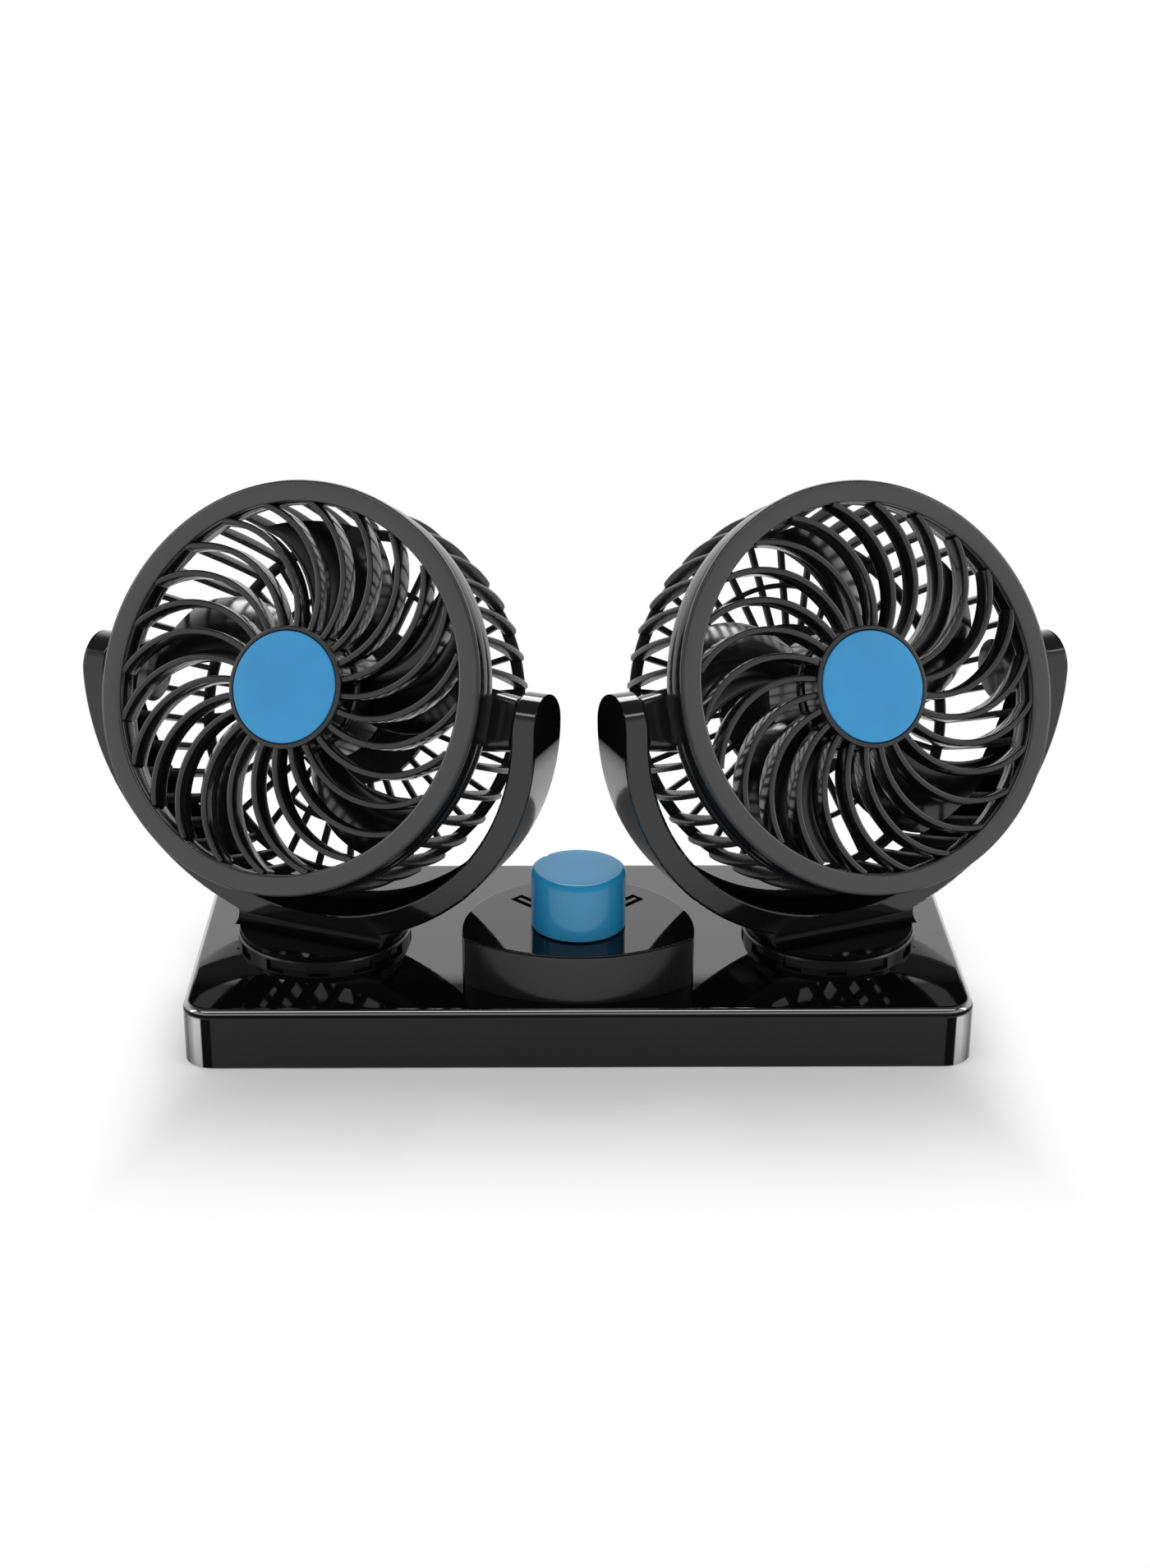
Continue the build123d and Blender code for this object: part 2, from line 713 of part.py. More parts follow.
def make_hub_cap():
    """Flat round cap in the hub cup."""
    cap = disc(cap_radius, level(cap_thickness - cap_proud), level(-cap_proud))
    return chamfer(cap.faces().sort_by(Axis.Z)[-1].edges(), cap_edge)


def trunnion_boss():
    """Round boss for the tilt pin on the +X side, wider towards the rim."""
    length = cage_boss_outer - cage_boss_inner
    boss = Cone(cage_boss_radius + cage_boss_flare, cage_boss_radius, length)
    return Rot(0, 90, 0) * Pos(0, 0, cage_boss_inner + length / 2) * boss


def make_rear_cage():
    """Rim with its locating lip, and on each side a pad and a boss for the tilt pin."""
    rim = ring(cage_rim_radius, cage_rim_inner_radius, level(cage_rim_back), level(grille_back))
    lip_high = level(grille_back) + cage_lip_length
    lip = ring(cage_lip_outer_radius, cage_lip_inner_radius, level(grille_back), lip_high)
    pad_length = cage_pad_radius - cage_boss_inner
    pad_height = level(cage_rim_back) + cage_pad_hold
    pad = Box(pad_length, cage_pad_width, pad_height)
    pad = Pos(cage_boss_inner + pad_length / 2, 0, pad_height / 2) * pad
    hole = rod(pin_radius + press_gap, cage_boss_outer - pin_hold, cage_boss_outer + overrun)
    return rim + lip + both_sides(trunnion_boss()) + both_sides(pad) - both_sides(hole)


def side_rib():
    """One side rib: a bar bowed outward that deepens from the rim to a rounded heel at the rear."""
    front = level(cage_rim_back)
    back = level(cage_back)
    toe = (cage_side_rib_front_radius, front)
    toe_inside = (cage_side_rib_front_radius - cage_side_rib_front_height, front)
    heel = (cage_side_rib_back_radius, back)
    belly = ((toe[0] + heel[0]) / 2 + cage_side_rib_bow, (front + back) / 2)
    seat = [(cage_corner_ring_outer, back), (cage_corner_ring_outer, back + cage_rear_depth)]
    rest = Polyline(heel, *seat, toe_inside, toe)
    outline = make_face([ThreePointArc(toe, belly, heel)] + list(rest.edges()))
    rib = Rot(90, 0, 0) * extrude(outline, cage_side_rib_thickness / 2, both=True)
    heel_edge = rib.edges().filter_by(Axis.Y).sort_by_distance((heel[0], 0, heel[1]))[0]
    return fillet(heel_edge, cage_side_rib_heel)


def make_cage_ribs():
    """Side ribs from the rim to the rear grille; beside each boss they start under it."""
    ribs = Part() + around(side_rib(), cage_side_rib_count, 180 / cage_side_rib_count)
    pad_room = Box(2 * cage_boss_outer, cage_pad_width, pivot_height)
    return ribs - both_sides(trunnion_boss()) - Pos(0, 0, pivot_height / 2) * pad_room


def make_rear_grille():
    """Flat rear grille: corner ring, middle ring, radial bars and the plate behind the motor."""
    back = level(cage_back)
    inside = back + cage_rear_depth
    corner_ring = ring(cage_corner_ring_outer, cage_corner_ring_inner, back, inside)
    middle_half = cage_middle_ring_width / 2
    middle_outer = cage_middle_ring_radius + middle_half
    middle_ring = ring(middle_outer, cage_middle_ring_radius - middle_half, back, inside)
    bar_start = cage_plate_radius - cage_rear_bar_width
    bar_end = cage_corner_ring_inner + cage_rear_bar_width
    bar = Box(bar_end - bar_start, cage_rear_bar_width, cage_rear_depth)
    bar = Pos((bar_start + bar_end) / 2, 0, (back + inside) / 2) * bar
    plate = disc(cage_plate_radius, back, inside)
    return corner_ring + [middle_ring, plate] + around(bar, cage_rear_bar_count)


def make_motor_sleeve():
    """Sleeve that stands on the rear plate round the motor."""
    inner_radius = motor_radius + seat_gap
    low = level(cage_back - cage_rear_depth)
    return ring(inner_radius + sleeve_wall, inner_radius, low, level(sleeve_front))


def make_tilt_pins():
    """Steel pins held in the bosses, running in the yoke's blind bores."""
    pin = rod(pin_radius, cage_boss_outer - pin_hold, yoke_inner_radius + pin_reach)
    return Part() + both_sides(pin)


def make_tilt_washers():
    """Friction washers between the bosses and the yoke's arms."""
    washer = rod(tilt_washer_radius, cage_boss_outer, cage_boss_outer + tilt_washer_thickness)
    hole = rod(pin_radius + press_gap, cage_boss_outer, cage_boss_outer + tilt_washer_thickness)
    return Part() + both_sides(washer - hole)


def make_motor_can():
    """Motor body with its bearing nose."""
    motor_back = cage_back - cage_rear_depth - motor_cap_thickness
    can = disc(motor_radius, level(motor_back), level(motor_front))
    can = fillet(can.faces().sort_by(Axis.Z)[-1].edges(), motor_edge)
    nose = disc(motor_nose_radius, level(motor_front), level(motor_front - motor_nose_height))
    bore = disc(shaft_radius + running_gap, level(shaft_back + overrun), level(motor_front - motor_nose_height))
    return can + nose - bore


def make_motor_cap():
    """Plastic end cap of the motor, on the cage's rear plate."""
    cap_back = cage_back - cage_rear_depth
    return disc(motor_radius, level(cap_back), level(cap_back - motor_cap_thickness))


def make_motor_shaft():
    """Shaft from the motor into the impeller's boss."""
    return disc(shaft_radius, level(shaft_back), level(shaft_front))


def blade_section(radius, chord, pitch, lag):
    """Lens section of a blade at one radius, square to that radius."""
    middle = level((impeller_front + impeller_back) / 2)
    angle = math.radians(lag)
    origin = (radius * math.cos(angle), radius * math.sin(angle), middle)
    outward = (math.cos(angle), math.sin(angle), 0)
    along = (-math.sin(angle), math.cos(angle), 0)
    plane = Plane(origin, x_dir=along, z_dir=outward)
    bulge = chord * blade_camber_share
    left = (-chord / 2, 0)
    right = (chord / 2, 0)
    upper = ThreePointArc(left, (0, bulge + blade_thickness / 2), right)
    lower = ThreePointArc(left, (0, bulge - blade_thickness / 2), right)
    return plane * (Rot(0, 0, pitch) * make_face([upper, lower]))


def make_impeller():
    """Hub cup, inner boss and wide swept blades lofted from the hub to the tip."""
    hub = disc(impeller_hub_radius, level(impeller_back), level(impeller_front))
    hub = fillet(hub.faces().sort_by(Axis.Z)[-1].edges(), impeller_hub_edge)
    middle_radius = (blade_root_radius + blade_tip_radius) / 2
    over_tip = blade_tip_radius + overrun
    blade = loft([
        blade_section(blade_root_radius, blade_root_chord, blade_root_pitch, 0),
        blade_section(middle_radius, blade_middle_chord, blade_middle_pitch, blade_middle_lag),
        blade_section(over_tip, blade_tip_chord, blade_tip_pitch, blade_tip_lag),
    ])
    blade = blade & disc(blade_tip_radius, level(impeller_back), level(impeller_front))
    rotor = hub + around(blade, blade_count)
    inner_radius = impeller_hub_radius - impeller_hub_wall
    rotor = rotor - disc(inner_radius, level(impeller_back), level(impeller_front + impeller_hub_wall))
    boss_back = impeller_front + impeller_hub_wall + impeller_boss_length
    rotor = rotor + disc(impeller_boss_radius, level(boss_back), level(impeller_front + impeller_hub_wall))
    return rotor - disc(shaft_radius + press_gap, level(boss_back), level(shaft_front) + press_gap)


# Placing and writing

def yoke_place(side):
    """Swivel axis of one side, turned outward to the rest pose."""
    return Pos(side * axis_x, 0, 0) * Rot(0, 0, side * yaw_rest)


def head_place(side):
    """Fan axis of one side: forward along -Y of its yoke, tilted up to the rest pose."""
    return yoke_place(side) * Pos(0, 0, pivot_height) * Rot(90 - tilt_rest, 0, 0)


def main():
    os.makedirs("parts", exist_ok=True)
    base_nodes = {
        "base_housing": make_base_housing(),
        "base_cover": make_base_cover(),
        "base_feet": make_base_feet(),
        "base_screws": make_base_screws(),
        "circuit_board": make_circuit_board(),
        "board_screws": make_board_screws(),
        "cable_grommet": make_cable_grommet(),
        "pod_body": make_pod_body(),
        "pod_fascia": make_pod_fascia(),
        "pod_screws": make_pod_screws(),
        "rotary_switch": make_rotary_switch(),
        "switch_nut": make_switch_nut(),
        "switch_shaft": make_switch_shaft(),
        "knob": make_knob(),
    }
    yoke_nodes = {
        "yoke": make_yoke(),
        "yoke_strips": make_yoke_strips(),
        "swivel_washer": make_swivel_washer(),
        "retainer": make_retainer(),
        "retainer_screws": make_retainer_screws(),
    }
    head_nodes = {
        "front_ring": make_front_ring(),
        "front_grille": make_front_grille(),
        "hub_cap": make_hub_cap(),
        "rear_cage": make_rear_cage(),
        "cage_ribs": make_cage_ribs(),
        "rear_grille": make_rear_grille(),
        "motor_sleeve": make_motor_sleeve(),
        "tilt_pins": make_tilt_pins(),
        "tilt_washers": make_tilt_washers(),
        "motor_can": make_motor_can(),
        "motor_cap": make_motor_cap(),
        "motor_shaft": make_motor_shaft(),
        "impeller": make_impeller(),
    }
    collar = make_collar()
    for name, shape in base_nodes.items():
        export_step(shape, f"parts/{name}.step")
    for side, word in ((-1, "left"), (1, "right")):
        export_step(Pos(side * axis_x, 0) * collar, f"parts/collar_{word}.step")
        for name, shape in yoke_nodes.items():
            export_step(yoke_place(side) * shape, f"parts/{name}_{word}.step")
        for name, shape in head_nodes.items():
            export_step(head_place(side) * shape, f"parts/{name}_{word}.step")


main()
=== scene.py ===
import math

import bmesh
import bpy
import numpy as np
from mathutils import Matrix, Vector


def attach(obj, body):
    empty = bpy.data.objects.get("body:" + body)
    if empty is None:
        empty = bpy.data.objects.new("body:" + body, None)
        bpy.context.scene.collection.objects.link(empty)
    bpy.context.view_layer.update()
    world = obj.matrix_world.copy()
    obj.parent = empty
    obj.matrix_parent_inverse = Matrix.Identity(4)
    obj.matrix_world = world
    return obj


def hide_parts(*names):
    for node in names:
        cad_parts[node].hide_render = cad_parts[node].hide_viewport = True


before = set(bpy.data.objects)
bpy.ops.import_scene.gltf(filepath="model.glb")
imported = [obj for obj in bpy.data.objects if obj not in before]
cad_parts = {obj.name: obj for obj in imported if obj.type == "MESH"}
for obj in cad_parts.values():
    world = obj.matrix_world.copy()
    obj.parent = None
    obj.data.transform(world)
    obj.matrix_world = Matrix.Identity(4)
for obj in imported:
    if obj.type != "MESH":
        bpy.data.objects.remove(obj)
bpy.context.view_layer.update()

# ---- Base housing, its cover, the collars and the cable grommet ----
# The low box is a high gloss black moulding, closed below by a matt cover on screws, with the matt
# collars pressed into its roof. The CAD solids are shown. The box's gloss is painted by place, so that
# it shines where the photograph shows reflections: painted highlights of strong coat along the rolled
# edge and up the corners, and painted shade where the gloss is turned down, beside the corner
# streaks, under the rolled edge and over the front of the roof.


def new_material(name):
    """A material with a plain Principled shader."""
    material = bpy.data.materials.new(name)
    material.use_nodes = True
    return material


def set_field(material, field, value):
    """One value of the finish: a number, or another node's output."""
    socket = material.node_tree.nodes["Principled BSDF"].inputs[field]
    if isinstance(value, float):
        socket.default_value = value
    else:
        material.node_tree.links.new(value, socket)


def place_of(material):
    """The X, Y and Z of the point being shaded, as three outputs in metres."""
    nodes = material.node_tree.nodes
    place = nodes.new("ShaderNodeTexCoord")
    split = nodes.new("ShaderNodeSeparateXYZ")
    material.node_tree.links.new(place.outputs["Object"], split.inputs["Vector"])
    return split.outputs["X"], split.outputs["Y"], split.outputs["Z"]


def noise(material, scale, detail, roughness=0.5, distortion=0.0, stretch=(1, 1, 1)):
    """Fractal noise over the piece's own coordinates, as an output between 0 and 1."""
    nodes = material.node_tree.nodes
    links = material.node_tree.links
    place = nodes.new("ShaderNodeTexCoord")
    mapping = nodes.new("ShaderNodeMapping")
    mapping.inputs["Scale"].default_value = stretch
    links.new(place.outputs["Object"], mapping.inputs["Vector"])
    cloud = nodes.new("ShaderNodeTexNoise")
    cloud.inputs["Scale"].default_value = scale
    cloud.inputs["Detail"].default_value = detail
    cloud.inputs["Roughness"].default_value = roughness
    cloud.inputs["Distortion"].default_value = distortion
    links.new(mapping.outputs["Vector"], cloud.inputs["Vector"])
    return cloud.outputs["Fac"]


def between(owner, measure, span, values, curve="LINEAR"):
    """A value that goes from the first to the second as the measure crosses its span."""
    share = owner.node_tree.nodes.new("ShaderNodeMapRange")
    share.interpolation_type = curve
    share.inputs["From Min"].default_value, share.inputs["From Max"].default_value = span
    share.inputs["To Min"].default_value, share.inputs["To Max"].default_value = values
    owner.node_tree.links.new(measure, share.inputs["Value"])
    return share.outputs["Result"]


def tinted(material, share, dark, light):
    """A colour between the dark and the light one, by a share from 0 to 1."""
    tint = material.node_tree.nodes.new("ShaderNodeMix")
    tint.data_type = "RGBA"
    tint.inputs["A"].default_value = (*dark, 1)
    tint.inputs["B"].default_value = (*light, 1)
    material.node_tree.links.new(share, tint.inputs["Factor"])
    return tint.outputs["Result"]


def lift_surface(material, height, strength, distance):
    """Bump by a height from 0 to 1, whose full step is the distance in metres."""
    lift = material.node_tree.nodes.new("ShaderNodeBump")
    lift.inputs["Strength"].default_value = strength
    lift.inputs["Distance"].default_value = distance
    material.node_tree.links.new(height, lift.inputs["Height"])
    set_field(material, "Normal", lift.outputs["Normal"])


def moulded_plastic(name, colour, roughness, uneven, grain_mm, grain_depth_mm, coat, gloss_level=0.5):
    """Plastic as it leaves the mould: the colour drifts by a few percent over centimetres, the
    gloss is broken by faint handling marks, and a fine grain of the given size lifts the surface."""
    material = new_material(name)
    drift = noise(material, scale=38.0, detail=5.0, roughness=0.62)
    dark, light = [c * 0.86 for c in colour], [min(1, c * 1.14) for c in colour]
    set_field(material, "Base Color", tinted(material, drift, dark, light))
    marks = noise(material, scale=160.0, detail=8.0, roughness=0.7, distortion=0.6)
    uneven_gloss = (roughness - uneven, roughness + uneven)
    set_field(material, "Roughness", between(material, marks, (0.35, 0.68), uneven_gloss))
    grain = noise(material, scale=1000.0 / grain_mm, detail=2.0)
    lift_surface(material, grain, 0.35, grain_depth_mm / 1000)
    set_field(material, "Specular IOR Level", gloss_level)
    set_field(material, "Coat Weight", coat)
    set_field(material, "Coat Roughness", 0.03)
    return material


def finish_node(material, *names):
    """The CAD solids of these names are shown in one finish."""
    for name in names:
        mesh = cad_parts[name].data
        mesh.materials.clear()
        mesh.materials.append(material)


def worked_out(owner, operation, first, second=0.0):
    """One step of arithmetic on two values, each a number or another node's output."""
    step = owner.node_tree.nodes.new("ShaderNodeMath")
    step.operation = operation
    for socket, value in zip(step.inputs, (first, second)):
        if isinstance(value, float):
            socket.default_value = value
        else:
            owner.node_tree.links.new(value, socket)
    return step.outputs["Value"]


def product(owner, *values):
    """The product of two or more values."""
    total = values[0]
    for value in values[1:]:
        total = worked_out(owner, "MULTIPLY", total, value)
    return total


def rest_of_one(owner, value):
    """What a share leaves of the whole: one less the share."""
    return worked_out(owner, "SUBTRACT", 1.0, value)


def graded(material, measure, *stops):
    """A value that follows a measure, even between the stops given as (millimetres, value)."""
    nodes = material.node_tree.nodes
    low, high = stops[0][0], stops[-1][0]
    ramp = nodes.new("ShaderNodeValToRGB")
    while len(ramp.color_ramp.elements) < len(stops):
        ramp.color_ramp.elements.new(0.5)
    for mark, (at, value) in zip(ramp.color_ramp.elements, stops):
        mark.position = (at - low) / (high - low)
        mark.color = (value, value, value, 1)
    share = between(material, measure, (low / 1000, high / 1000), (0, 1))
    material.node_tree.links.new(share, ramp.inputs["Fac"])
    return ramp.outputs["Color"]


sides = ((-1, "left"), (1, "right"))
base_gloss = moulded_plastic("base_gloss", (0.0022, 0.0023, 0.0026), roughness=0.05, uneven=0.025,
                             grain_mm=2.6, grain_depth_mm=0.0012, coat=0.35)
base_matt = moulded_plastic("base_matt", (0.008, 0.008, 0.009), roughness=0.26, uneven=0.05,
                            grain_mm=0.7, grain_depth_mm=0.006, coat=0.0)
black_rubber = moulded_plastic("black_rubber", (0.016, 0.016, 0.016), roughness=0.62, uneven=0.08,
                               grain_mm=0.9, grain_depth_mm=0.03, coat=0.0)

# The stops below are millimetres from the middle for the corners and the front, and heights else.
# Painted light on the box: the corner streaks and the line along the rolled edge are painted highlights,
# made with a strong, high index coat; the bands beside the streaks, the band under the rolled edge and the
# roof's front are painted shade, where the gloss is turned down.
painted_streak_stops = ((99.4, 0.0), (99.8, 1.0), (101.4, 1.0), (103.2, 0.4), (103.5, 0.0))
painted_streak_shade_stops = ((96.8, 0.0), (97.2, 0.9), (99.4, 0.9), (99.8, 0.0))
below_edge = ((14.4, 1.0), (14.8, 0.0))
painted_edge_line_stops = ((15.7, 0.0), (16.0, 1.0), (16.8, 1.0), (16.95, 0.11))
on_roof = ((16.9, 0.0), (16.98, 1.0))
painted_roof_shade_stops = ((25.0, 0.0), (32.0, 0.94))
# Specular by height: satin on the wall, painted shade in the band under the rolled edge, gloss on the roof.
wall_gloss_and_painted_edge_shade = ((14.8, 0.4), (15.0, 0.06), (15.7, 0.06), (16.0, 0.5))
coat_index, painted_streak_index_rise = 2.7, 3.0

base_x, base_y, base_z = place_of(base_gloss)
from_middle = worked_out(base_gloss, "ABSOLUTE", base_x)
to_front = worked_out(base_gloss, "MULTIPLY", base_y, -1.0)
on_wall = graded(base_gloss, base_z, *below_edge)
painted_corner_streak = product(base_gloss, on_wall, graded(base_gloss, from_middle, *painted_streak_stops))
painted_corner_shade = product(base_gloss, on_wall, graded(base_gloss, from_middle, *painted_streak_shade_stops))
painted_edge_line = graded(base_gloss, base_z, *painted_edge_line_stops)
painted_roof_shade = product(base_gloss, graded(base_gloss, base_z, *on_roof),
                      graded(base_gloss, to_front, *painted_roof_shade_stops))
# Painted highlights raise the coat and its index; painted shade takes coat and specular away.
painted_coat_highlights = worked_out(base_gloss, "MAXIMUM", painted_edge_line, painted_corner_streak)
shaded = worked_out(base_gloss, "MAXIMUM", painted_corner_shade, painted_roof_shade)
set_field(base_gloss, "Coat IOR", worked_out(
    base_gloss, "ADD", coat_index, product(base_gloss, painted_corner_streak, painted_streak_index_rise)))
set_field(base_gloss, "Coat Weight", product(base_gloss, painted_coat_highlights, rest_of_one(base_gloss, painted_roof_shade)))
set_field(base_gloss, "Specular IOR Level", product(
    base_gloss, graded(base_gloss, base_z, *wall_gloss_and_painted_edge_shade), rest_of_one(base_gloss, shaded)))
finish_node(base_gloss, "base_housing")
finish_node(base_matt, "base_cover", "collar_left", "collar_right")
finish_node(black_rubber, "base_feet", "cable_grommet", "swivel_washer_left", "swivel_washer_right",
            "tilt_washers_left", "tilt_washers_right")


# ---- Screws, nut, shafts, motor cans, switch and board ----
# Zinc plated steel pieces and the drawn steel cans of the two motors, which show between the ribs.
# The circuit board is coated laminate, the switch and the motors' end caps are plain plastic. All
# keep their CAD solids.


def plated_steel(name, colour, roughness):
    """Drawn and plated steel: fine lines across one axis break the gloss, and the colour drifts."""
    material = new_material(name)
    lines = noise(material, scale=1.0, detail=3.0, stretch=(60, 60, 2600))
    set_field(material, "Metallic", 1.0)
    set_field(material, "Base Color", tinted(material, lines, [c * 0.8 for c in colour], colour))
    set_field(material, "Roughness", between(material, lines, (0, 1), (roughness * 0.7, roughness * 1.3)))
    lift_surface(material, lines, 0.2, 0.00002)
    return material


zinc_steel = plated_steel("zinc_steel", (0.62, 0.63, 0.65), roughness=0.32)
motor_steel = plated_steel("motor_steel", (0.28, 0.28, 0.29), roughness=0.38)
board_laminate = moulded_plastic("board_laminate", (0.01, 0.09, 0.035), roughness=0.3, uneven=0.08,
                                 grain_mm=0.5, grain_depth_mm=0.01, coat=0.2)
inner_plastic = moulded_plastic("inner_plastic", (0.02, 0.02, 0.021), roughness=0.45, uneven=0.05,
                                grain_mm=0.8, grain_depth_mm=0.02, coat=0.0)
finish_node(zinc_steel, "base_screws", "board_screws", "pod_screws", "switch_nut", "switch_shaft")
finish_node(board_laminate, "circuit_board")
finish_node(inner_plastic, "rotary_switch", "motor_cap_left", "motor_cap_right")
for _, word in sides:
    finish_node(zinc_steel, f"retainer_{word}", f"retainer_screws_{word}", f"tilt_pins_{word}",
                f"motor_shaft_{word}")
    finish_node(motor_steel, f"motor_can_{word}")


# ---- Control pod ----
# A hollow moulding screwed down from inside the base, with a matt crescent panel let into its
# front; both are CAD solids. Its sides are dull and its roof is polished. The two pairs of position
# grooves, which run out from the knob at 45 degrees, carry painted shade: the gloss is taken off in
# them and beside them, so that they read as dark lines.

knob_y = -23.4
pod_gloss = moulded_plastic("pod_gloss", (0.0022, 0.0023, 0.0026), roughness=0.06, uneven=0.025,
                            grain_mm=2.6, grain_depth_mm=0.0012, coat=0.0)
pod_matt = moulded_plastic("pod_matt", (0.007, 0.007, 0.0078), roughness=0.2, uneven=0.05,
                           grain_mm=0.6, grain_depth_mm=0.004, coat=0.0)

# The stops below are millimetres along and across the grooves' direction, then heights.
groove_length = ((15.6, 0.0), (15.8, 1.0), (23.8, 1.0), (24.0, 0.0))
groove_width = ((0.4, 0.0), (0.6, 1.0), (2.1, 1.0), (2.3, 0.0))
# Gloss by height: none below the roof, which leaves the pod's sides dull and puts painted shade on the
# groove floors.
pod_levels = ((30.6, 0.0), (30.9, 0.5))

pod_x, pod_y, pod_z = place_of(pod_gloss)
right_of_knob = product(pod_gloss, worked_out(pod_gloss, "ABSOLUTE", pod_x), math.sqrt(0.5))
behind_knob = product(pod_gloss, worked_out(pod_gloss, "SUBTRACT", pod_y, knob_y / 1000), math.sqrt(0.5))
along_groove = worked_out(pod_gloss, "ADD", right_of_knob, behind_knob)
across_groove = worked_out(pod_gloss, "ABSOLUTE", worked_out(
    pod_gloss, "SUBTRACT", right_of_knob, behind_knob))
# Painted shade on the roof in and beside the two pairs of grooves, where the gloss is taken off.
painted_groove_shade = product(pod_gloss, graded(pod_gloss, along_groove, *groove_length),
                      graded(pod_gloss, across_groove, *groove_width))
set_field(pod_gloss, "Specular IOR Level", product(
    pod_gloss, graded(pod_gloss, pod_z, *pod_levels), rest_of_one(pod_gloss, painted_groove_shade)))
finish_node(pod_gloss, "pod_body")
finish_node(pod_matt, "pod_fascia")


# ---- Knob ----
# A hollow satin blue moulding pushed on the switch's shaft. Its top edge is rounded and a notch
# runs down its side as the pointer. It is remade here with a fully rounded edge and notch. Its gloss
# is painted by height: a painted highlight up the side and painted shade over the rounded top edge.


def rounded_corner(centre, radius, start, end, steps):
    """Points at even angles, in degrees, on an arc of this radius about the centre."""
    a = np.radians(np.linspace(start, end, steps))
    return np.stack([centre[0] + radius * np.cos(a), centre[1] + radius * np.sin(a)], axis=1)


def turned(profile, angles):
    """Grid of a profile turned about Z: x = r cos a, y = r sin a, z as in the profile."""
    r = profile[:, 0, None]
    z = np.broadcast_to(profile[:, 1, None], (len(profile), len(angles)))
    return np.stack([r * np.cos(angles), r * np.sin(angles), z], axis=-1)


def full_turn(count):
    """Even angles round a circle, the last one short of the first."""
    return np.linspace(0, 2 * math.pi, count, endpoint=False)


def add_skin(name, place, sheets, sharp_degrees=38.0):
    """One closed mesh from point grids in millimetres. Each sheet is (grid, rows wrap, columns wrap)
    and joins neighbouring points into four sided faces; place moves the points to the row frame."""
    points, faces, first = [], [], 0
    for grid, rows_wrap, columns_wrap in sheets:
        grid = grid.reshape(-1, *grid.shape[-3:])
        copies, m, n = grid.shape[:3]
        rows, columns = np.arange(m if rows_wrap else m - 1), np.arange(n if columns_wrap else n - 1)
        i, j = np.meshgrid(rows, columns, indexing="ij")
        next_i, next_j = (i + 1) % m, (j + 1) % n
        corners = [i * n + j, next_i * n + j, next_i * n + next_j, i * n + next_j]
        shift = first + np.arange(copies)[:, None, None] * m * n
        points.append(place(grid.reshape(-1, 3)) / 1000)
        faces.append((np.stack(corners, axis=-1).reshape(-1, 4)[None] + shift).reshape(-1, 4))
        first += copies * m * n
    mesh = bpy.data.meshes.new(name)
    mesh.from_pydata(np.concatenate(points).tolist(), [], np.concatenate(faces).tolist())
    shell = bmesh.new()
    shell.from_mesh(mesh)
    bmesh.ops.remove_doubles(shell, verts=shell.verts, dist=2e-6)
    bmesh.ops.dissolve_degenerate(shell, edges=shell.edges, dist=1e-7)
    bmesh.ops.recalc_face_normals(shell, faces=shell.faces)
    shell.to_mesh(mesh)
    shell.free()
    mesh.shade_smooth()
    mesh.set_sharp_from_angle(angle=math.radians(sharp_degrees))
    piece = bpy.data.objects.new(name, mesh)
    bpy.context.scene.collection.objects.link(piece)
    return piece


def show(piece, material, body, slot, *nodes):
    """A new piece in its finish, riding on its body in place of its CAD solids."""
    piece.data.materials.append(material)
    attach(piece, body)
    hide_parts(*nodes)


knob_radius, knob_low, knob_top, knob_edge, knob_wall, foot_edge = 12.7, 31.3, 47.5, 1.3, 1.8, 0.25
knob_bore, ceiling = knob_radius - knob_wall, knob_top - 2.2
sleeve_radius, sleeve_low, shaft_bore, bore_end = 4.2, knob_low + 4, 2.05, knob_top - 9
notch_angle, notch_reach = math.radians(135), 0.11
notch_half_width, notch_depth, notch_shoulder = 1.0, 1.4, 0.12
side_heights = np.linspace(knob_low + 1, knob_top - knob_edge - 0.5, 6)
knob_outside = np.concatenate([
    [[knob_bore, knob_low], [knob_radius - foot_edge, knob_low], [knob_radius, knob_low + foot_edge]],
    np.stack([np.full(6, knob_radius), side_heights], axis=1),
    rounded_corner((knob_radius - knob_edge, knob_top - knob_edge), knob_edge, 0, 90, 9),
    [[9.0, knob_top], [5.0, knob_top], [0, knob_top]],
])
knob_inside = np.array([
    [0, bore_end], [shaft_bore, bore_end], [shaft_bore, sleeve_low], [sleeve_radius, sleeve_low],
    [sleeve_radius, ceiling], [knob_bore, ceiling], [knob_bore, knob_low],
])
near_notch = notch_angle + np.linspace(-notch_reach, notch_reach, 23)
knob_angles = np.sort(np.concatenate([full_turn(96), near_notch]))


def cut_notch(grid):
    """The notch: points near the pointer's angle move in by the notch's depth, with a soft shoulder."""
    off = np.abs(knob_angles - notch_angle) * knob_radius
    sunk = notch_depth * np.clip((notch_half_width + notch_shoulder - off) / (2 * notch_shoulder), 0, 1)
    radius = np.hypot(grid[..., 0], grid[..., 1])
    share = np.clip(radius - (knob_radius - notch_depth), 0, notch_depth) / notch_depth
    keep = 1 - sunk[None, :] * share / np.maximum(radius, 1e-6)
    return grid * np.stack([keep, keep, np.ones_like(keep)], axis=-1)


knob_blue = moulded_plastic("knob_blue", (0.019, 0.215, 0.41), roughness=0.14, uneven=0.04,
                            grain_mm=0.5, grain_depth_mm=0.002, coat=0.0, gloss_level=0.3)
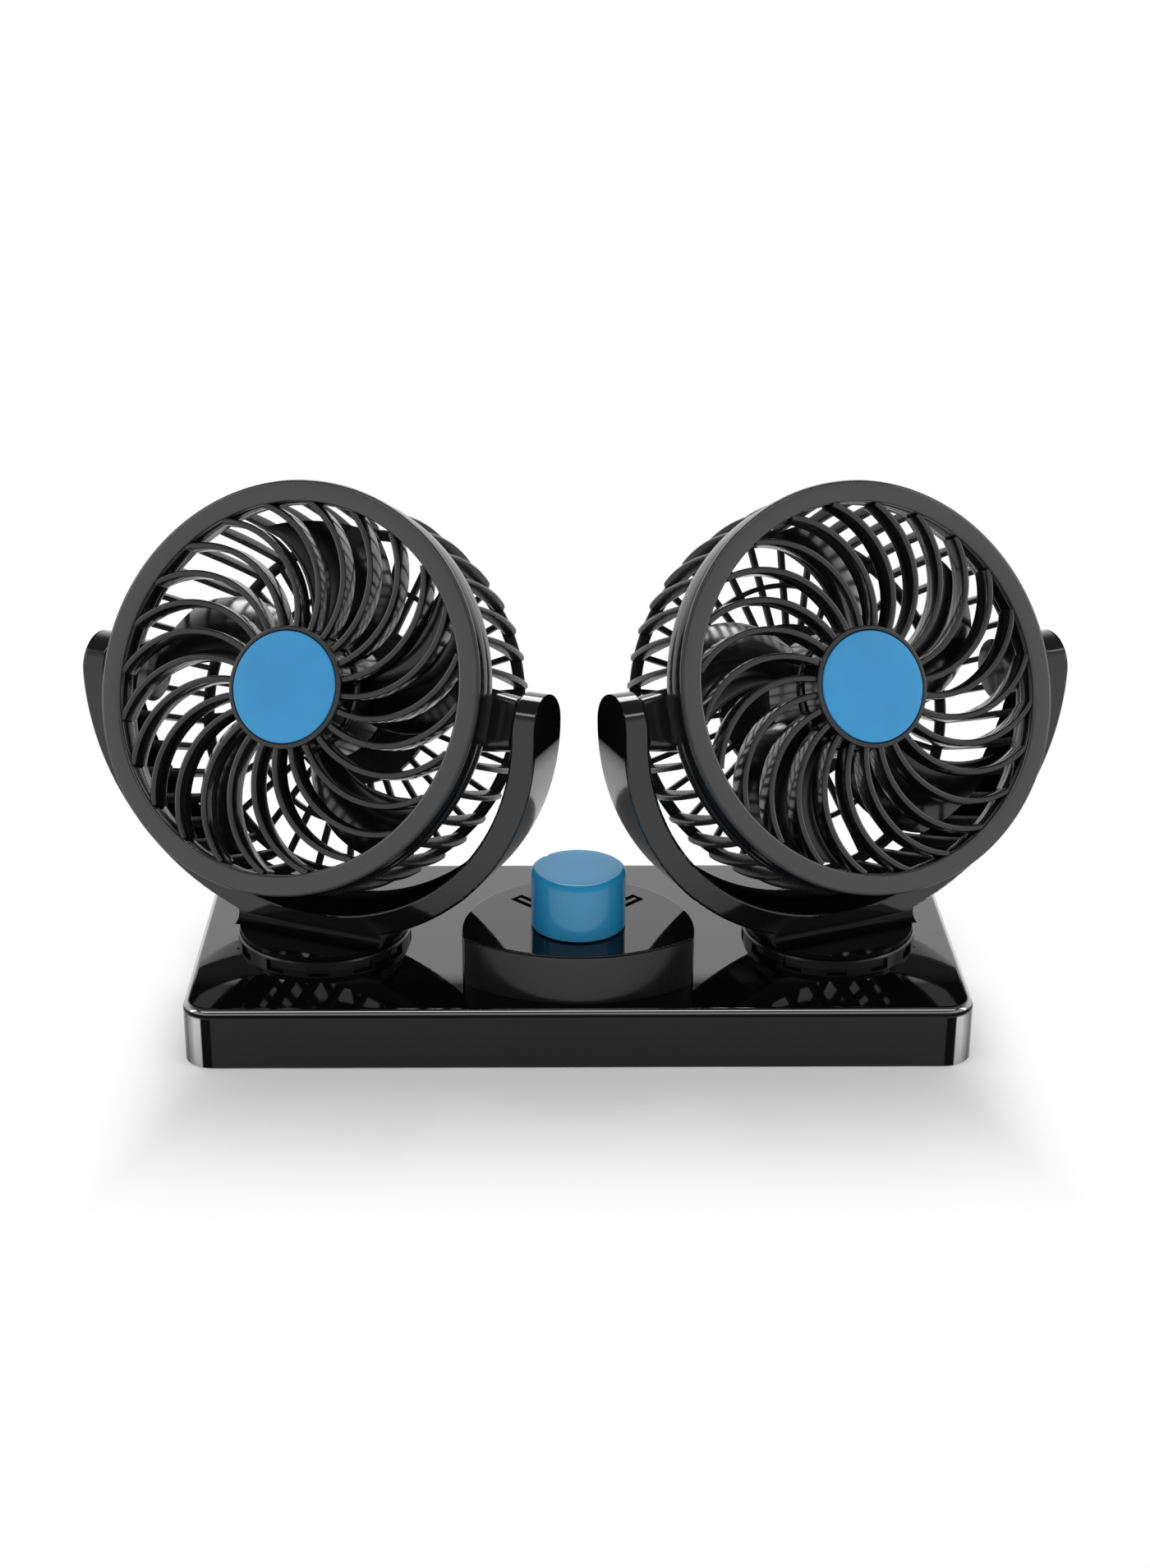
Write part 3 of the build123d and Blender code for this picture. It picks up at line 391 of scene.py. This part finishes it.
# Painted light by height: a painted highlight of raised gloss up the side, painted shade of almost no gloss
# over the rounded top edge, and a middling gloss on the flat top.
knob_painted_light_levels = ((45.6, 0.62), (46.3, 0.05), (47.35, 0.05), (47.45, 0.22))
knob_z = place_of(knob_blue)[2]
set_field(knob_blue, "Specular IOR Level", graded(knob_blue, knob_z, *knob_painted_light_levels))
knob_grid = np.concatenate([turned(knob_inside, knob_angles), cut_notch(turned(knob_outside, knob_angles))])
knob = add_skin("knob_shell", lambda p: p + (0, knob_y, 0), [(knob_grid, False, True)])
show(knob, knob_blue, "control_knob", "knob_blue", "knob")


# ---- Yokes and the strips at their back ----
# Each yoke is one glossy moulding: a half round band with rounded arm tops on a flared foot that
# turns on the collar. The strips in its wire channel are of the same plastic. Both are CAD solids,
# with painted shade on foot, inner side and outer arm tops: there the gloss is turned down, where the
# photograph shows no reflection.

pivot_height, axis_x, yaw, tilt = 88.2, 70.5, math.radians(23.0), math.radians(24.5)


def from_pivot(material):
    """The offset of a point of either head or yoke from that head's pivot, as three outputs in
    metres. The left head's are mirrored to the right."""
    x, y, z = place_of(material)
    outward = worked_out(material, "SUBTRACT", worked_out(material, "ABSOLUTE", x), axis_x / 1000)
    return outward, y, worked_out(material, "SUBTRACT", z, pivot_height / 1000)


def dot(material, first, second):
    """The sum of the products of the members of two lists."""
    total = 0.0
    for one, other in zip(first, second):
        total = worked_out(material, "ADD", total, worked_out(material, "MULTIPLY", one, other))
    return total


yoke_gloss = moulded_plastic("yoke_gloss", (0.003, 0.0031, 0.0035), roughness=0.08, uneven=0.03,
                             grain_mm=1.8, grain_depth_mm=0.001, coat=0.2)

# The stops below are distances from the pivot in the band's plane, and then heights.
inner_side = ((60.9, 0.0), (61.3, 1.0))
outer_side = ((67.2, 0.0), (67.5, 1.0))
arm_top = ((77.0, 0.0), (83.0, 1.0))
foot_top, band_low = 23.0, 24.6

offset = from_pivot(yoke_gloss)
in_plane = (dot(yoke_gloss, offset, (math.cos(yaw), math.sin(yaw))), offset[2])
band_radius = worked_out(yoke_gloss, "SQRT", dot(yoke_gloss, in_plane, in_plane))
# Painted shade: the gloss is taken off the outer arm tops and the band's inner side, and turned down on the
# foot.
painted_arm_top_shade = product(yoke_gloss, graded(yoke_gloss, band_radius, *outer_side),
                   graded(yoke_gloss, place_of(yoke_gloss)[2], *arm_top))
gloss_outside_painted_shade = product(yoke_gloss, graded(yoke_gloss, band_radius, *inner_side), rest_of_one(yoke_gloss, painted_arm_top_shade))
for field, low_gloss, high_gloss in (("Specular IOR Level", 0.12, 0.5), ("Coat Weight", 0.0, 0.2)):
    above_foot = graded(yoke_gloss, place_of(yoke_gloss)[2], (foot_top, low_gloss), (band_low, high_gloss))
    set_field(yoke_gloss, field, product(yoke_gloss, above_foot, gloss_outside_painted_shade))
for _, word in sides:
    finish_node(yoke_gloss, f"yoke_{word}", f"yoke_strips_{word}")


# ---- Front ring ----
# A flat trim ring in satin dark grey, snapped over the grille's frame. Both its edges are eased,
# and its narrow outer side carries painted shade: its gloss is turned down there.

ring_forward, ring_hole = 19.0, 49.25


def out_of_fan(side):
    """The direction in which a head blows at rest, as a unit vector."""
    return np.array([side * math.sin(yaw) * math.cos(tilt), -math.cos(yaw) * math.cos(tilt),
                     math.sin(tilt)])


def head_place(side):
    """A head's own axes in the row frame: x along the tilt axis, y up the ring, z out of the fan."""
    across, out = np.array([math.cos(yaw), side * math.sin(yaw), 0]), out_of_fan(side)
    axes = np.stack([across, np.cross(out, across), out])
    return lambda p: p @ axes + (side * axis_x, 0, pivot_height)


def from_fan_axis(material):
    """How far a point of either head lies from that head's fan axis, as an output in metres: the
    root of its squared distance from the pivot less its squared distance along the axis."""
    offset = from_pivot(material)
    along = dot(material, offset, out_of_fan(1))
    squares = dot(material, offset, offset)
    return worked_out(material, "SQRT", worked_out(
        material, "SUBTRACT", squares, product(material, along, along)))


def eased_ring(inner, outer, back, front, ease, steps=4):
    """Outline of a flat ring's section: a rectangle in radius and depth with rounded corners.
    Depths are measured back from the ring's front face."""
    low, high = ring_forward - back, ring_forward - front
    corners = [((outer - ease, high - ease), 90, 0), ((outer - ease, low + ease), 0, -90),
               ((inner + ease, low + ease), 270, 180), ((inner + ease, high - ease), 180, 90)]
    return np.concatenate([rounded_corner(c, ease, a, b, steps) for c, a, b in corners])


ring_grey = moulded_plastic("ring_grey", (0.032, 0.0325, 0.034), roughness=0.16, uneven=0.03,
                            grain_mm=0.6, grain_depth_mm=0.0012, coat=0.1)
# Painted shade: the gloss falls off on the ring's narrow outer side.
set_field(ring_grey, "Specular IOR Level", graded(
    ring_grey, from_fan_axis(ring_grey), (54.2, 0.5), (54.6, 0.14)))
ring_profile = eased_ring(inner=ring_hole, outer=54.9, back=2.2, front=0.0, ease=0.85, steps=6)
for side, word in sides:
    ring = add_skin(f"front_ring_shell_{word}", head_place(side), [
        (turned(ring_profile, full_turn(160)), True, True),
    ])
    show(ring, ring_grey, f"head_{word}", "ring_grey", f"front_ring_{word}")


# ---- Front grille ----
# One glossy black moulding: a frame behind the trim ring, with painted shade on its outer side,
# where the gloss is turned down, twenty-four fins that leave the hub cup squarely and bend round to
# the frame on an arc, and the cup itself. Every fin's edge is rounded.


def eased_bar(width, depth, ease, steps=4):
    """Outline of a bar's section about its middle: a rectangle with rounded corners."""
    x, y = width / 2 - ease, depth / 2 - ease
    corners = [((x, y), 0, 90), ((-x, y), 90, 180), ((-x, -y), 180, 270), ((x, -y), 270, 360)]
    return np.concatenate([rounded_corner(c, ease, a, b, steps) for c, a, b in corners])


def swept(path, across, up, outline):
    """Grid of an outline carried along a path: the path's point plus the outline's two sizes along
    the across and up directions there, closed at both ends by a row gathered at its middle."""
    wide, high = outline[None, :, 0, None], outline[None, :, 1, None]
    grid = path[:, None] + wide * across[:, None] + high * up[:, None]
    first = np.broadcast_to(path[:1, None], grid[:1].shape)
    last = np.broadcast_to(path[-1:, None], grid[:1].shape)
    return np.concatenate([first, grid, last])


def spun(grid, count, first_degrees=0.0):
    """Copies of a grid at even turns about Z."""
    a = full_turn(count) + math.radians(first_degrees)
    turn = np.zeros((count, 3, 3))
    turn[:, 0, 0] = turn[:, 1, 1] = np.cos(a)
    turn[:, 0, 1], turn[:, 1, 0], turn[:, 2, 2] = np.sin(a), -np.sin(a), 1
    return np.einsum("mnk,ckl->cmnl", grid, turn)


def behind_face(*parts):
    """A profile given as radius and depth behind the ring's front face, as radius and height."""
    return np.concatenate(parts) * (1, -1) + (0, ring_forward)


fin_count, fin_curve, fin_width, fin_back, fin_front, fin_steps = 24, 25.2, 1.7, 7.25, 0.8, 34
cup_radius, cup_bore, cup_edge, cup_lip = 16.3, 14.9, 0.4, 0.3
cup_floor, cup_underside, cup_back = 1.3, 2.7, 7.3
fin_angle = np.radians(np.linspace(-92.5, 2.9, fin_steps))
fin_path = np.stack([cup_radius + fin_curve * np.cos(fin_angle), fin_curve + fin_curve * np.sin(fin_angle),
                     np.full(fin_steps, ring_forward - (fin_back + fin_front) / 2)], axis=1)
fin_across = np.stack([np.cos(fin_angle), np.sin(fin_angle), np.zeros(fin_steps)], axis=1)
fin_up = np.broadcast_to(np.array([0.0, 0, 1]), (fin_steps, 3))
fin_outline = eased_bar(fin_width, fin_back - fin_front, ease=0.5)
fins = spun(swept(fin_path, fin_across, fin_up, fin_outline), fin_count)
cup = behind_face(
    [[0, cup_underside], [cup_bore, cup_underside], [cup_bore, cup_back], [cup_radius, cup_back]],
    rounded_corner((cup_radius - cup_edge, cup_edge), cup_edge, 0, -90, 5),
    [[cup_bore + cup_lip, 0], [cup_bore, cup_lip], [cup_bore, cup_floor], [0, cup_floor]],
)
frame_profile = eased_ring(inner=ring_hole, outer=54.6, back=7.3, front=2.25, ease=0.4)
grille_black = moulded_plastic("grille_black", (0.0045, 0.0047, 0.0055), roughness=0.16, uneven=0.04,
                               grain_mm=0.5, grain_depth_mm=0.0012, coat=0.2)
# Painted shade: the frame's outer side loses most of its gloss and all its coat.
frame_side = from_fan_axis(grille_black)
for field, face_gloss, side_gloss in (("Specular IOR Level", 0.5, 0.12), ("Coat Weight", 0.2, 0.0)):
    set_field(grille_black, field, graded(grille_black, frame_side, (53.9, face_gloss), (54.3, side_gloss)))
for side, word in sides:
    grille = add_skin(f"front_grille_shell_{word}", head_place(side), [
        (fins, False, True),
        (turned(frame_profile, full_turn(160)), True, True),
        (turned(cup, full_turn(72)), False, True),
    ])
    show(grille, grille_black, f"head_{word}", "grille_black", f"front_grille_{word}")


# ---- Hub cap ----
# A flat satin blue disc glued into the cup at the grille's middle, with a fine eased rim. Its face
# stands just proud of the trim ring.

cap_radius, cap_proud = 14.8, 0.3
cap = behind_face(
    [[0, cup_floor], [cap_radius, cup_floor]],
    rounded_corner((cap_radius - cap_proud, 0), cap_proud, 0, -90, 5),
    [[12.0, -cap_proud], [6.0, -cap_proud], [0, -cap_proud]],
)
cap_blue = moulded_plastic("cap_blue", (0.04, 0.27, 0.54), roughness=0.4, uneven=0.05,
                           grain_mm=0.5, grain_depth_mm=0.004, coat=0.0, gloss_level=0.25)
for side, word in sides:
    disc = add_skin(f"hub_cap_shell_{word}", head_place(side), [(turned(cap, full_turn(96)), False, True)])
    show(disc, cap_blue, f"head_{word}", "cap_blue", f"hub_cap_{word}")


# ---- Rear cage ----
# One black moulding that carries everything: rim, forty side ribs that bend round the rear corner,
# thirty radial bars, the motor's plate and sleeve, and a boss each side for the tilt pin. Its four
# CAD nodes are remade as two pieces: the rim with its bosses, and the rest, which carries painted
# shade: a second black with its gloss turned far down, so that the ribs stay dark.

rib_count, rib_width, rib_ease, rib_phase, rib_steps = 40, 1.6, 0.35, 4.5, 26
toe_radius, heel_radius, rib_bow, toe_height = 54.0, 50.1, 1.6, 2.0
rim_back, cage_back, rear_depth, corner_ring = 11.2, 48.5, 2.4, 49.4
heel_round, rib_seat, inner_bow, thinnest = 2.6, 1.9, 0.5, 0.3
boss_reach, plate_clear, boss_inside, boss_overlap = 6.0, 40, 7.9, 0.3


def rib_outline_points(count):
    """Height, outer and inner edge of a side rib, at depths that draw a little closer towards the
    heel. The outer edge is a bowed arc that ends in a quarter round heel, the inner edge a flatter
    arc from the rim to the corner ring."""
    share = np.linspace(0, 1, count) ** 0.8
    depth = rim_back + (cage_back - rim_back) * share
    outer = toe_radius + (heel_radius - toe_radius) * share + 4 * rib_bow * share * (1 - share)
    past = np.clip(depth - (cage_back - heel_round), 0, heel_round)
    outer = outer - heel_round + np.sqrt(heel_round ** 2 - past ** 2)
    inner_share = np.clip((depth - rim_back) / (cage_back - rear_depth - rim_back), 0, 1)
    inner = toe_radius - toe_height + (corner_ring - rib_seat - toe_radius + toe_height) * inner_share
    inner = inner + 4 * inner_bow * inner_share * (1 - inner_share)
    return ring_forward - depth, outer, np.minimum(inner, outer - thinnest)


def rib_grid(count):
    """Grid of one side rib: at each depth a rectangle between the two edges with eased corners."""
    z, outer, inner = rib_outline_points(count)
    unit = eased_bar(2.0, 2.0, 2 * rib_ease / rib_width, 3)
    mean, half = (outer + inner)[:, None] / 2, (outer - inner)[:, None] / 2
    x = mean + half * unit[None, :, 0]
    y = np.broadcast_to(rib_width / 2 * unit[None, :, 1], x.shape)
    grid = np.stack([x, y, np.broadcast_to(z[:, None], x.shape)], axis=-1)
    ends = [np.broadcast_to(row.mean(0), row.shape)[None] for row in (grid[0], grid[-1])]
    return np.concatenate([ends[0], grid, ends[1]])


def under_boss(grids):
    """The ribs beside the two bosses start under them: their points move down to the underside of
    a cylinder along X that lies just inside the boss."""
    beside = (np.abs(grids[..., 1]) < boss_reach) & (np.abs(grids[..., 0]) > plate_clear)
    underside = boss_overlap - np.sqrt(np.clip(boss_inside ** 2 - grids[..., 1] ** 2, 0, None))
    grids[..., 2] = np.where(beside, np.minimum(grids[..., 2], underside), grids[..., 2])
    return grids


def both_sides(grid):
    """A grid and its mirror image in X."""
    return np.stack([grid, grid * (-1, 1, 1)])


side_ribs = under_boss(spun(rib_grid(rib_steps), rib_count, rib_phase))
bars_front, bar_count, bar_start, bar_end, bar_middle = 46.1, 30, 20.0, 47.6, ring_forward - 47.3
sideways, upward = np.array([[0.0, 1, 0]] * 2), np.array([[0.0, 0, 1]] * 2)
bar_path = np.array([[bar_start, 0, bar_middle], [bar_end, 0, bar_middle]])
rear_bars = spun(swept(bar_path, sideways, upward, eased_bar(1.5, 2.36, 0.45, 3)), bar_count)
plate_radius, plate_edge = 22.5, 0.5
motor_sleeve, motor_bore, motor_front, motor_edge = 14.3, 12.3, 28.0, 0.2
plate = behind_face(
    [[0, cage_back]],
    rounded_corner((plate_radius - plate_edge, cage_back - plate_edge), plate_edge, 90, 0, 4),
    [[plate_radius, bars_front], [motor_sleeve, bars_front], [motor_sleeve, motor_front + motor_edge],
     [motor_sleeve - motor_edge, motor_front], [motor_bore, motor_front], [motor_bore, bars_front],
     [0, bars_front]],
)
pin_bore, boss_end, boss_edge, boss_foot, boss_seat, boss_flat = 3.02, 59.5, 0.4, 8.6, 49.6, 4.8
boss_profile = np.concatenate([
    [[pin_bore, boss_end]], rounded_corner((6.8, boss_end - boss_edge), boss_edge, 90, 8, 4),
    [[boss_foot, boss_seat], [0, boss_seat], [0, 51.5], [pin_bore, 51.5]],
])
boss = turned(boss_profile, full_turn(48))[..., [2, 1, 0]]
boss[..., 2] = np.minimum(boss[..., 2], boss_flat)
pad_middle = 4.55
pad_path = np.array([[boss_seat, 0, pad_middle], [53.0, 0, pad_middle]])
pad = swept(pad_path, sideways, upward, eased_bar(width=12.4, depth=9.1, ease=0.6, steps=3))
rim_profile = eased_ring(inner=50.4, outer=54.4, back=rim_back, front=7.3, ease=0.4)
lip_profile = eased_ring(inner=51.05, outer=52.8, back=7.4, front=4.7, ease=0.2)
corner_profile = eased_ring(inner=46.2, outer=corner_ring, back=cage_back, front=bars_front, ease=1.0)
middle_profile = eased_ring(inner=32.8, outer=34.2, back=cage_back, front=bars_front, ease=0.45)
rim_black = moulded_plastic("rim_black", (0.012, 0.0122, 0.013), roughness=0.15, uneven=0.04,
                            grain_mm=0.5, grain_depth_mm=0.0012, coat=0.1)
# Painted shade: the ribs, bars and plate get a second black with far less gloss than the rim's.
cage_black_painted_shade = moulded_plastic("cage_black_painted_shade", (0.016, 0.0165, 0.018), roughness=0.27, uneven=0.04,
                             grain_mm=0.5, grain_depth_mm=0.0012, coat=0.0, gloss_level=0.07)
for side, word in sides:
    rim = add_skin(f"rear_cage_shell_{word}", head_place(side), [
        (turned(rim_profile, full_turn(160)), True, True),
        (turned(lip_profile, full_turn(160)), True, True),
        (both_sides(boss), True, True),
        (both_sides(pad), False, True),
    ])
    show(rim, rim_black, f"head_{word}", "grille_black", f"rear_cage_{word}")
    cage = add_skin(f"cage_ribs_shell_{word}", head_place(side), [
        (side_ribs, False, True),
        (turned(corner_profile, full_turn(160)), True, True),
        (turned(middle_profile, full_turn(120)), True, True),
        (rear_bars, False, True),
        (turned(plate, full_turn(72)), False, True),
    ])
    show(cage, cage_black_painted_shade, f"head_{word}", "grille_black",
         *(f"{node}_{word}" for node in ("cage_ribs", "rear_grille", "motor_sleeve")))


# ---- Impeller ----
# A hub cup with five broad swept blades, one satin black moulding pushed on the motor's shaft. The
# cup is open at the back, with a bush for the shaft in its middle.


def blade_grid(radii, rows):
    """Grid of one blade. At each radius the section is a thin lens, cambered by about a twelfth of
    its chord, set at the pitch angle and wrapped round the hub's axis at that radius, so the tip
    lies on a cylinder. From root to tip the chord goes from 17 to 30 mm, the pitch from 47 to 25
    degrees and the sweep from 0 to 26 degrees."""
    share = (radii - radii[0]) / (radii[-1] - radii[0])
    chord = 17.0 + 19.0 * share - 6.0 * share ** 2
    pitch = np.radians(47.0 - 34.0 * share + 12.0 * share ** 2)
    sweep = np.radians(26.0 * share ** 1.585)
    a = full_turn(rows)
    x = 0.5 * np.cos(a) * chord[:, None]
    bow = 0.08 * chord[:, None] * (1 - np.cos(a) ** 2)
    y = bow + 0.8 * np.sign(np.sin(a)) * np.abs(np.sin(a)) ** 0.9
    along = x * np.cos(pitch)[:, None] - y * np.sin(pitch)[:, None]
    height = x * np.sin(pitch)[:, None] + y * np.cos(pitch)[:, None]
    turn = sweep[:, None] + along / radii[:, None]
    r = radii[:, None]
    return np.stack([r * np.cos(turn), r * np.sin(turn), blade_middle + height], axis=-1)


blade_count, blade_root, blade_tip, blade_middle = 5, 16.2, 46.4, 0.7
blade = blade_grid(np.linspace(blade_root, blade_tip, 16), 40)
root, tip = (np.broadcast_to(row.mean(1, keepdims=True), row.shape) for row in (blade[:1], blade[-1:]))
blade = np.concatenate([root, blade, tip])
hub_radius, hub_front, hub_back, hub_wall = 17.0, 9.6, 27.0, 1.6
bush_radius, bush_back, hub_bore, bore_front = 3.6, 19.2, 1.02, 11.4
hub_ceiling, hub_inside = hub_front + hub_wall, hub_radius - hub_wall
hub = behind_face(
    [[0, hub_front]], rounded_corner((hub_inside, hub_ceiling), hub_wall, -90, 0, 7),
    [[hub_radius, hub_back], [hub_inside, hub_back], [hub_inside, hub_ceiling], [bush_radius, hub_ceiling],
     [bush_radius, bush_back], [hub_bore, bush_back], [hub_bore, bore_front], [0, bore_front]],
)
impeller_black = moulded_plastic("impeller_black", (0.005, 0.005, 0.0056), roughness=0.2, uneven=0.04,
                                 grain_mm=0.5, grain_depth_mm=0.0015, coat=0.1)
for side, word in sides:
    impeller = add_skin(f"impeller_shell_{word}", head_place(side), [
        (turned(hub, full_turn(96)), False, True),
        (spun(blade, blade_count), False, True),
    ])
    show(impeller, impeller_black, f"rotor_{word}", "impeller_black", f"impeller_{word}")


# ---- Floor, light and camera ----
# A plain white sweep under soft studio lamps, seen from the photograph's viewpoint. The sweep glows
# a little, as a lit table does, and runs out to pure white away from the fan.

floor_mesh = bpy.data.meshes.new("floor")
floor_mesh.from_pydata([(-6, -6, 0), (6, -6, 0), (6, 6, 0), (-6, 6, 0)], [], [(0, 1, 2, 3)])
floor = bpy.data.objects.new("floor", floor_mesh)
bpy.context.scene.collection.objects.link(floor)


def white_sweep(name, glow, side_fade, front_fade):
    """White paper with a faint glow. Past the first distance of each fade, sideways or forward, it
    turns to plain white, which it reaches at the second."""
    material = new_material(name)
    nodes = material.node_tree.nodes
    links = material.node_tree.links
    nodes.remove(nodes["Principled BSDF"])
    paper = nodes.new("ShaderNodeBsdfDiffuse")
    paper.inputs["Color"].default_value = (0.8, 0.8, 0.8, 1)
    light = nodes.new("ShaderNodeEmission")
    light.inputs["Strength"].default_value = glow
    both = nodes.new("ShaderNodeAddShader")
    links.new(paper.outputs["BSDF"], both.inputs[0])
    links.new(light.outputs["Emission"], both.inputs[1])
    x, y, _ = place_of(material)
    fades = [between(material, worked_out(material, "ABSOLUTE", measure), fade, (0, 1), "SMOOTHSTEP")
             for measure, fade in ((x, side_fade), (y, front_fade))]
    plain = nodes.new("ShaderNodeEmission")
    choose = nodes.new("ShaderNodeMixShader")
    links.new(worked_out(material, "MAXIMUM", *fades), choose.inputs["Fac"])
    links.new(both.outputs["Shader"], choose.inputs[1])
    links.new(plain.outputs["Emission"], choose.inputs[2])
    links.new(choose.outputs["Shader"], nodes["Material Output"].inputs["Surface"])
    return material


floor_mesh.materials.append(white_sweep("floor_white", glow=0.04, side_fade=(0.095, 0.125),
                                        front_fade=(0.055, 0.13)))


def studio_room(low, high, back, front):
    """The room as the part sees it: bright round the horizon, more so behind, and dim overhead.
    The brightness falls smoothly with height. The camera itself sees plain white."""
    world = bpy.data.worlds.new("studio")
    bpy.context.scene.world = world
    world.use_nodes = True
    nodes = world.node_tree.nodes
    links = world.node_tree.links
    view = nodes.new("ShaderNodeTexCoord")
    split = nodes.new("ShaderNodeSeparateXYZ")
    links.new(view.outputs["Generated"], split.inputs["Vector"])
    height = between(world, split.outputs["Z"], (0.45, 0.8), (low, high), "SMOOTHSTEP")
    depth = between(world, split.outputs["Y"], (-1, 1), (front, back))
    room = nodes["Background"]
    room.inputs["Color"].default_value = (1, 1, 1, 1)
    links.new(product(world, height, depth), room.inputs["Strength"])
    white = nodes.new("ShaderNodeBackground")
    white.inputs["Color"].default_value = (1, 1, 1, 1)
    ray = nodes.new("ShaderNodeLightPath")
    choose = nodes.new("ShaderNodeMixShader")
    links.new(ray.outputs["Is Camera Ray"], choose.inputs["Fac"])
    links.new(room.outputs["Background"], choose.inputs[1])
    links.new(white.outputs["Background"], choose.inputs[2])
    links.new(choose.outputs["Shader"], nodes["World Output"].inputs["Surface"])


studio_room(low=1.0, high=0.15, back=1.35, front=0.95)


def softbox(name, where, target, width, height, power):
    """A rectangular lamp at one point, facing another; metres and watts."""
    lamp = bpy.data.lights.new(name, "AREA")
    lamp.shape = "RECTANGLE"
    lamp.size, lamp.size_y, lamp.energy = width, height, power
    box = bpy.data.objects.new(name, lamp)
    box.location = where
    box.rotation_euler = (Vector(target) - Vector(where)).to_track_quat("-Z", "Y").to_euler()
    bpy.context.scene.collection.objects.link(box)


softbox("overhead_box", (0, 0.62, 0.78), (0, 0, 0.05), width=0.7, height=0.35, power=7.5)
softbox("left_box", (-0.95, -0.1, 0.5), (0, 0, 0.07), width=0.2, height=0.7, power=1.5)
softbox("right_box", (0.95, -0.1, 0.5), (0, 0, 0.07), width=0.2, height=0.7, power=1.5)
softbox("edge_strip", (0, -0.3, 0.8), (0, -0.04, 0.02), width=1.2, height=0.1, power=1.6)

turn_right, look_down, lean = math.radians(0.95), math.radians(22.26), math.radians(0.28)
level = np.array([math.cos(turn_right), -math.sin(turn_right), 0])
forward = np.array([math.sin(turn_right) * math.cos(look_down), math.cos(turn_right) * math.cos(look_down),
                    -math.sin(look_down)])
above = np.cross(level, forward)
right = level * math.cos(lean) + above * math.sin(lean)
up = above * math.cos(lean) - level * math.sin(lean)
lens = bpy.data.cameras.new("camera")
lens.sensor_fit = "VERTICAL"
lens.sensor_height = 36.0
lens.lens = 55.41
lens.clip_start = 0.01
viewpoint = bpy.data.objects.new("camera", lens)
stand = Matrix([[*row, 0] for row in np.stack([right, up, -forward], axis=1).tolist()] + [[0, 0, 0, 1]])
stand.translation = (-0.01080, -0.61117, 0.31217)
viewpoint.matrix_world = stand
bpy.context.scene.collection.objects.link(viewpoint)
bpy.context.scene.camera = viewpoint
bpy.context.scene.view_settings.view_transform = "Standard"
